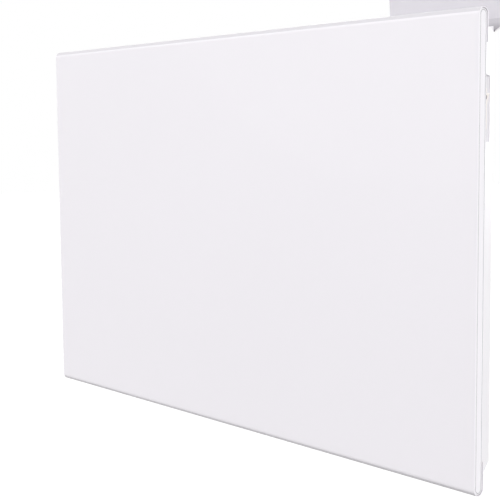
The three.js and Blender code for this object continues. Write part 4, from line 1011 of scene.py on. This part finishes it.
def makeDigits():
    bm = bmesh.new()
    line, slit = display["line"], display["slit"]
    tall = display["digitHeight"] - line
    low = display["farther"] - tall / 2
    for side in (-1, 1):
        centre = side * (display["digitWidth"] + display["digitGap"]) / 2
        left, right = (centre + s * (display["digitWidth"] - line) / 2 for s in (-1, 1))
        middle, high = low + tall / 2, low + tall
        for up in (low, middle, high):
            segment(bm, (left + slit, up), (right - slit, up), line)
        for across in (left, right):
            segment(bm, (across, low + slit), (across, middle - slit), line)
            segment(bm, (across, middle + slit), (across, high - slit), line)
    finishMark(bm, "display_digits", "displayDigits")
    bm = bmesh.new()
    bar = boxRound(0, -display["barNearer"], display["barLength"] / 2, display["barWidth"] / 2)
    markOnDisplay(bm, bar, display["lift"])
    finishMark(bm, "display_bar", "displayBar")
    bm = bmesh.new()
    field = roundedLoop(0, 0, display["fieldHalfY"], display["fieldHalfX"], display["fieldCorner"])
    markOnDisplay(bm, [point[:2] for point in field], display["lift"] / 3)
    finishMark(bm, "display_field", "displayField")


def finishMark(bm, name, finish):
    fit(meshObject(name, bm), bodyOf["display_window"], "smoked_lens", finish=finish)


makeDigits()


icons = {**inMm(behind=5.1, halfX=1.7, halfY=2.5, line=0.38, lift=0.02), "turns": 4, "ovalSides": 24}


def makeIcons():  # drawings of a calendar, two ovals, a coil, a flag and two rings behind the lights
    bm = bmesh.new()
    wide, deep, line = icons["halfY"], icons["halfX"], icons["line"]
    y = lightY + icons["behind"]
    flat = lambda px, py: topZ + icons["lift"]
    a, b, c, d, e, f = lightXs
    stroke(bm, boxRound(a, y, deep, wide), line, flat, True)
    for s in (-0.4, 0.4):
        stroke(bm, [(a - deep * 0.5, y + s * wide), (a + deep * 0.5, y + s * wide)], line, flat)
    for x in (b, d):
        oval = circle(0, 0, 1, steps=icons["ovalSides"])
        stroke(bm, [(x + deep * 0.8 * across, y + wide * up) for across, up in oval], line, flat, True)
    steps = icons["turns"] * 2
    coil = [(c + deep * (0.8 if i % 2 else -0.8), y - wide + wide * 2 * i / steps) for i in range(steps + 1)]
    stroke(bm, coil, line, flat)
    low, high = y - wide, y + wide
    flag = [(e + deep, low), (e - deep, low), (e - deep * 0.3, high), (e + deep * 0.2, low)]
    stroke(bm, flag, line, flat)
    for side in (y - wide * 0.5, y + wide * 0.5):
        stroke(bm, circle(f, side, wide * 0.45, steps=16), line, flat, True)
    fit(meshObject("fascia_signs", bm), bodyOf["control_fascia"], "dark_plastic", finish="paleInk")


makeIcons()
print("controls made")


# switch marks, a ring above the pivot and a bar below it

rocker = {"tilt": 10, "valley": 2.8 * mm, "crown": 4 * mm, "halfHeight": 13.6 * mm, "ring": 2.4 * mm,
          "line": 0.75 * mm, "from": 9.7 * mm, "bar": 6 * mm, "bezel": 1.8 * mm}


def makeRockerSigns():
    low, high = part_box("switch_body")
    pivot = Vector((high.x - rocker["bezel"], (low.y + high.y) / 2, (low.z + high.z) / 2))
    rise = (rocker["crown"] - rocker["valley"]) / rocker["halfHeight"]
    bm = bmesh.new()
    face = lambda y, z: rocker["valley"] + rise * abs(z)
    stroke(bm, circle(0, rocker["from"], rocker["ring"]), rocker["line"], face, True)
    ends = [(0, -rocker["from"] + s * rocker["bar"] / 2) for s in (-1, 1)]
    stroke(bm, ends, rocker["line"], face)
    turn = Matrix.Rotation(math.radians(rocker["tilt"]), 4, "Y")
    axes = Matrix(((0, 0, 1, 0), (1, 0, 0, 0), (0, 1, 0, 0), (0, 0, 0, 1)))
    bm.transform(Matrix.Translation(pivot) @ turn @ axes)
    fit(meshObject("rocker_signs", bm), bodyOf["switch_rocker"], "dark_plastic", finish="printInk")


makeRockerSigns()


# outlet grille, made by rule: two rows of slots down a slope, either side of a rib

grille = {
    "Slot Width": 4.3 * mm,
    "Slot Pitch": 10.5 * mm,
    "Margin": 5 * mm,
    "Rib Share": 0.28,
    "Rib Width": 5 * mm,
    "Thickness": 2.2 * mm,
    "Corner Points": 20,
}
grilleEdges = inMm(flange=12, lip=4, softness=0.3, rearRim=0.4)


def geometryTree(name, inputs):
    tree = bpy.data.node_groups.new(name, "GeometryNodeTree")
    for label, kind in inputs:
        tree.interface.new_socket(label, in_out="INPUT", socket_type="NodeSocket" + kind)
    tree.interface.new_socket("Geometry", in_out="OUTPUT", socket_type="NodeSocketGeometry")
    return tree, tree.nodes.new("NodeGroupInput").outputs, tree.nodes.new("NodeGroupOutput").inputs


def step(tree, kind, settings=(), **links):  # one node, its settings and what feeds it
    node = tree.nodes.new("GeometryNode" + kind)
    for label, value in dict(settings).items():
        setattr(node, label, value)
    for label, value in links.items():
        feed(tree, value, node.inputs[label.replace("_", " ")])
    return node.outputs[0]


def named(tree, label):
    return step(tree, "InputNamedAttribute", {"data_type": "FLOAT"}, Name=label)


def joined(tree, *parts):
    node = tree.nodes.new("GeometryNodeJoinGeometry")
    for part in parts:
        tree.links.new(part, node.inputs[0])
    return node.outputs[0]


def endTree(tree, geometry, given, result):  # instances made real, and the finish set
    geometry = step(tree, "RealizeInstances", Geometry=geometry)
    tree.links.new(step(tree, "SetMaterial", Geometry=geometry, Material=given["Finish"]), result[0])
    return tree


def store(tree, geometry, label, value):
    settings = {"data_type": "FLOAT", "domain": "POINT"}
    return step(tree, "StoreNamedAttribute", settings, Name=label, Geometry=geometry, Value=value)


def slotRow(tree, given, start, end):  # slot outlines between two distances down the slope
    plus, minus, times, over = sums(tree)
    width, margin = given["Slot Width"], given["Margin"]
    halfWidth = times(width, 0.5)
    room = minus(minus(given["Right End"], given["Left Front"]), times(margin, 2.0))
    count = maths(tree, "FLOOR", over(room, given["Slot Pitch"]))
    firstX = minus(minus(given["Right End"], margin), halfWidth)
    back = times(given["Slot Pitch"], -1.0)
    line = step(tree, "MeshLine", Count=count, Start_Location=triple(tree, firstX), Offset=triple(tree, back))
    x = partOf(tree, step(tree, "InputPosition"), 0)
    fromLeft = minus(minus(minus(x, halfWidth), given["Left Front"]), margin)
    taper = minus(given["Left Rear"], given["Left Front"])
    limit = over(times(fromLeft, given["Slope Length"]), taper)
    reach = minus(maths(tree, "MINIMUM", end, limit), start)
    line = store(tree, line, "reach", reach)
    line = store(tree, line, "short", maths(tree, "LESS_THAN", reach, times(width, 2.0)))
    kept = step(tree, "DeleteGeometry", Geometry=line, Selection=named(tree, "short"))
    down = plus(times(named(tree, "reach"), 0.5), start)
    kept = step(tree, "SetPosition", Geometry=kept, Offset=triple(tree, 0.0, down))
    ring = step(tree, "CurvePrimitiveCircle", Resolution=given["Corner Points"], Radius=halfWidth)
    lean = over(math.pi, given["Corner Points"])
    ring = step(tree, "Transform", Geometry=ring, Rotation=triple(tree, 0.0, 0.0, lean))
    ring = store(tree, ring, "side", maths(tree, "SIGN", partOf(tree, step(tree, "InputPosition"), 1)))
    slots = step(tree, "InstanceOnPoints", Points=kept, Instance=ring)
    slots = step(tree, "RealizeInstances", Geometry=slots)
    stretch = times(minus(named(tree, "reach"), width), 0.5)
    move = triple(tree, 0.0, times(named(tree, "side"), stretch))
    return step(tree, "SetPosition", Geometry=slots, Offset=move)


def makeGrilleTree():
    sizes = ["Right End", "Left Front", "Left Rear", "Slope Length", "Slope Angle", "Front Line", "Top"]
    sizes += grille
    inputs = [(label, "Int" if label == "Corner Points" else "Float") for label in sizes]
    tree, given, result = geometryTree("slottedSlope", inputs + [("Finish", "Material")])
    plus, minus, times, over = sums(tree)
    slope = given["Slope Length"]
    ribAt, halfRib = times(slope, given["Rib Share"]), times(given["Rib Width"], 0.5)
    upper = slotRow(tree, given, given["Margin"], minus(ribAt, halfRib))
    lower = slotRow(tree, given, plus(ribAt, halfRib), minus(slope, given["Margin"]))
    outline = tree.nodes.new("GeometryNodeCurvePrimitiveQuadrilateral")
    outline.mode = "POINTS"
    corners = [("Right End", 0.0), ("Right End", slope), ("Left Rear", slope), ("Left Front", 0.0)]
    for number, (end, y) in enumerate(corners, 1):
        tree.links.new(triple(tree, given[end], y), outline.inputs[f"Point {number}"])
    outlines = joined(tree, outline.outputs[0], upper, lower)
    face = step(tree, "FillCurve", {"mode": "NGONS"}, Curve=outlines)
    down = triple(tree, 0.0, 0.0, times(given["Thickness"], -1.0))
    under = step(tree, "ExtrudeMesh", {"mode": "FACES"}, Mesh=face, Offset=down, Offset_Scale=1.0,
                 Individual=False)
    whole = step(tree, "MergeByDistance", Geometry=joined(tree, face, under), Distance=mergeWithin)
    turn = triple(tree, times(given["Slope Angle"], -1.0))
    place = triple(tree, 0.0, given["Front Line"], given["Top"])
    whole = step(tree, "Transform", Geometry=whole, Rotation=turn, Translation=place)
    return endTree(tree, whole, given, result)


def runTree(name, tree, values):  # sets inputs by identifier, then keeps the plain mesh
    obj = addObject(name, bpy.data.meshes.new(name))
    modifier = obj.modifiers.new("rule", "NODES")
    modifier.node_group = tree
    for item in tree.interface.items_tree:
        if item.in_out == "INPUT" and item.name in values:
            modifier[item.identifier] = values[item.name]
    return flattenModifiers(obj)


def makeGrille():
    low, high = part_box("outlet_grille")
    frontY, rearY = low.y, high.y
    front = pointsOf("outlet_grille", lambda p: p.y < frontY + sameWithin)
    rear = pointsOf("outlet_grille", lambda p: p.y > rearY - sameWithin)
    lowest = pointsOf("outlet_grille", lambda p: p.z < low.z + sameWithin)
    leftFront, leftRear = min(p.x for p in front), min(p.x for p in rear)
    rearTop = max(p.z for p in rear)
    run, drop = rearY - frontY, high.z - rearTop
    tilt = math.atan2(drop, run)
    values = {
        "Right End": high.x,
        "Left Front": leftFront,
        "Left Rear": leftRear,
        "Slope Length": math.hypot(run, drop),
        "Slope Angle": tilt,
        "Front Line": frontY,
        "Top": high.z,
        "Finish": materials["casing_paint"],
        **grille,
    }
    obj = runTree("slotted_grille", makeGrilleTree(), values)
    bm = bmesh.new()
    bm.from_mesh(obj.data)
    thick = grille["Thickness"]
    slope = thick / math.cos(tilt)
    taper = (leftRear - leftFront) / run
    innerY, innerX = max(p.y for p in lowest), min(p.x for p in lowest)
    flangeLow, lipLow = high.z - grilleEdges["flange"], rearTop - grilleEdges["lip"]
    walls = [  # from and to across the depth, left end at each, bottom and top
        (frontY, frontY + thick, leftFront, leftFront + taper * thick, flangeLow, high.z - slope),
        (rearY - thick, rearY, leftRear - taper * thick, leftRear, lipLow, rearTop - slope / 2),
        (innerY - thick, innerY, innerX, innerX, low.z, lipLow + thick)]
    for nearY, farY, nearX, farX, bottom, top in walls:
        alongZ(bm, [(high.x, nearY), (high.x, farY), (farX, farY), (nearX, nearY)], bottom, top)
    bmesh.ops.recalc_face_normals(bm, faces=bm.faces)
    bm.to_mesh(obj.data)
    bm.free()
    softenEdges(obj, grilleEdges["softness"])
    def shadeUnderGrille(place, normal):  # painted shade on the underside and the slots' walls
        depth = (high.z - place.z) * math.cos(tilt) - (place.y - frontY) * math.sin(tilt)
        return depth > grilleEdges["softness"] and place.y < rearY - grilleEdges["rearRim"]
    standFor(paintShade(obj, shadeUnderGrille), "outlet_grille")
    print("grille made with", len(obj.data.polygons), "faces")


makeGrille()


# screws: countersunk in the sides, and a row of pan heads down each rear edge

screw = {**inMm(headRadius=3, headHeight=1.8, shank=1.4, crossLength=3.4, crossWidth=0.85, crossDepth=1.1,
         length=8, rim=0.12), "sides": 32}
rearScrews = {**inMm(headRadius=3.3, headHeight=1.5, first=-235, pitch=90, fromEdge=4.2, depth=3),
              "count": 4, "straight": 0.35}


def crossHead(name, profile, top):
    bm = bmesh.new()
    turned(bm, profile, screw["sides"])
    obj = meshObject(name, bm)
    long, thin, deep = screw["crossLength"] / 2, screw["crossWidth"] / 2, screw["crossDepth"]
    for a, b in ((long, thin), (thin, long)):
        cutter = bmesh.new()
        alongZ(cutter, boxRound(0, 0, a, b), top - deep, top + deep)
        carve(obj, cutter)
    return obj


def sideOutward(side):  # square to a side cover's slanted wall, from its far edges
    low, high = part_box("right_side_cover")
    front = max(p.x for p in pointsOf("right_side_cover", lambda p: p.y < low.y + sameWithin))
    rear = max(p.x for p in pointsOf("right_side_cover", lambda p: p.y > high.y - sameWithin))
    return Vector((side * (high.y - low.y), front - rear, 0)).normalized()


def makeSideScrew(node):
    outward = sideOutward(1 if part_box(node)[1].x > 0 else -1)
    length, rim, wide = screw["length"], screw["rim"], screw["headRadius"]
    profile = [(0, -length), (screw["shank"], -length), (screw["shank"], -screw["headHeight"]),
               (wide, -rim), (wide - rim, 0), (0, 0)]
    obj = crossHead(node + "_head", profile, 0)
    farthest = max(p.dot(outward) for p in pointsOf(node))
    face = pointsOf(node, lambda p: p.dot(outward) > farthest - sameWithin)
    middle = sum(face, Vector()) / len(face)
    obj.data.transform(Matrix.Translation(middle) @ outward.to_track_quat("Z", "Y").to_matrix().to_4x4())
    standFor(smoothBelow(obj), node)


for name in ("side_screw_left", "side_screw_right"):
    makeSideScrew(name)


def makeRowTree():
    inputs = [("Piece", "Object"), ("Count", "Int"), ("First", "Vector"), ("Step", "Vector"),
              ("Finish", "Material")]
    tree, given, result = geometryTree("evenRow", inputs)
    line = step(tree, "MeshLine", Count=given["Count"], Start_Location=given["First"], Offset=given["Step"])
    info = tree.nodes.new("GeometryNodeObjectInfo")
    tree.links.new(given["Piece"], info.inputs["Object"])
    row = step(tree, "InstanceOnPoints", Points=line, Instance=info.outputs["Geometry"])
    return endTree(tree, row, given, result)


def makeRearScrews():
    low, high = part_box("rear_casing")
    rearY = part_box("right_side_cover")[1].y
    tall, wide, deep, straight = (rearScrews[k] for k in ("headHeight", "headRadius", "depth", "straight"))
    shank = screw["shank"]
    profile = [(0, -deep), (shank, -deep), (shank, 0.0), (wide, 0.0), (wide, tall * straight)]
    dome = arc((0, 0), 1, 25, 75, 2)
    profile += [(wide * across, tall * (straight + (1 - straight) * up)) for across, up in dome]
    pattern = crossHead("screwPattern", profile + [(0, tall)], tall)
    pattern.data.transform(Matrix.Rotation(math.radians(-90), 4, "X"))
    tree = makeRowTree()
    rows = []
    for side in (-1, 1):
        x = (high.x if side > 0 else low.x) - side * rearScrews["fromEdge"]
        values = {"Piece": pattern, "Count": rearScrews["count"], "First": (x, rearY, rearScrews["first"]),
                  "Step": (0.0, 0.0, rearScrews["pitch"]), "Finish": materials["zinc_steel"]}
        rows.append(runTree("rear_screws", tree, values))
    joinMeshes(*rows)
    bpy.data.objects.remove(pattern)
    fit(smoothBelow(rows[0]), bodyOf["rear_casing"], "zinc_steel")


makeRearScrews()
print("screws made")


# round pieces turned finer than their solids

spacer = {**inMm(radius=9, stem=3.5, barb=1, barbDepth=1.6, edge=1.5, stemReach=5), "sides": 40}
gland = {**inMm(radius=7, bore=4, boreChamfer=0.6, flange=2.5, flangeThickness=2, flangeRound=1,
         barb=1.25, floor=2.8), "sides": 40}


def makeSpacer(node):
    low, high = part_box(node)
    x, z = (low.x + high.x) / 2, (low.z + high.z) / 2
    stem, barb, edge, wide = (spacer[k] for k in ("stem", "barb", "edge", "radius"))
    barbAt = low.y + spacer["stemReach"]
    faceY = barbAt + spacer["barbDepth"]
    profile = [(0, low.y), (stem - barb, low.y), (stem + barb, barbAt), (stem, barbAt)]
    profile += [(stem, faceY), (wide, faceY)]
    profile += arc((wide - edge, high.y - edge), edge, 0, 90, 6) + [(0, high.y)]
    bm = bmesh.new()
    place = Matrix.Translation((x, 0, z)) @ Matrix.Rotation(math.radians(-90), 4, "X")
    turned(bm, profile, spacer["sides"], place)
    standFor(smoothBelow(meshObject(node + "_foot", bm)), node)


for name in ("wall_spacer_left", "wall_spacer_right"):
    makeSpacer(name)


def makeGland():
    low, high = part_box("cable_gland")
    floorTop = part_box("right_side_cover")[0].z + gland["floor"]
    radius, bore, chamfer, barb = (gland[k] for k in ("radius", "bore", "boreChamfer", "barb"))
    wide, under, soft = radius + gland["flange"], low.z + gland["flangeThickness"], gland["flangeRound"]
    profile = [(bore, high.z), (bore, low.z + chamfer), (bore + chamfer, low.z), (wide - barb, low.z)]
    profile += arc((wide - soft, low.z + soft), soft, -60, 0, 4)
    profile += [(wide, under), (radius, under), (radius, floorTop)]
    profile += [(radius + barb, floorTop), (radius, high.z)]
    bm = bmesh.new()
    turned(bm, profile, gland["sides"], Matrix.Translation((*middleOf("cable_gland"), 0)))
    standFor(smoothBelow(meshObject("inlet_bush", bm)), "cable_gland")


makeGland()
print("round pieces made")


# the other nodes keep their solids and get their finish

# painted shade: the parts inside the casing take the dark steel, for the shadow they lie in
plainFinish = {
    "heat_shield": "shadedSteel",
    "end_baffle_left": "shadedSteel",
    "end_baffle_right": "shadedSteel",
    "heating_element": "shadedSteel",
}
shown = [name for name, node in nodes.items() if not node.hide_render]
for name in shown:
    node = nodes[name]
    node.data.materials.clear()
    node.data.materials.append(materials[plainFinish.get(name, slotOf[name])])
print("finished as they are:", len(shown))
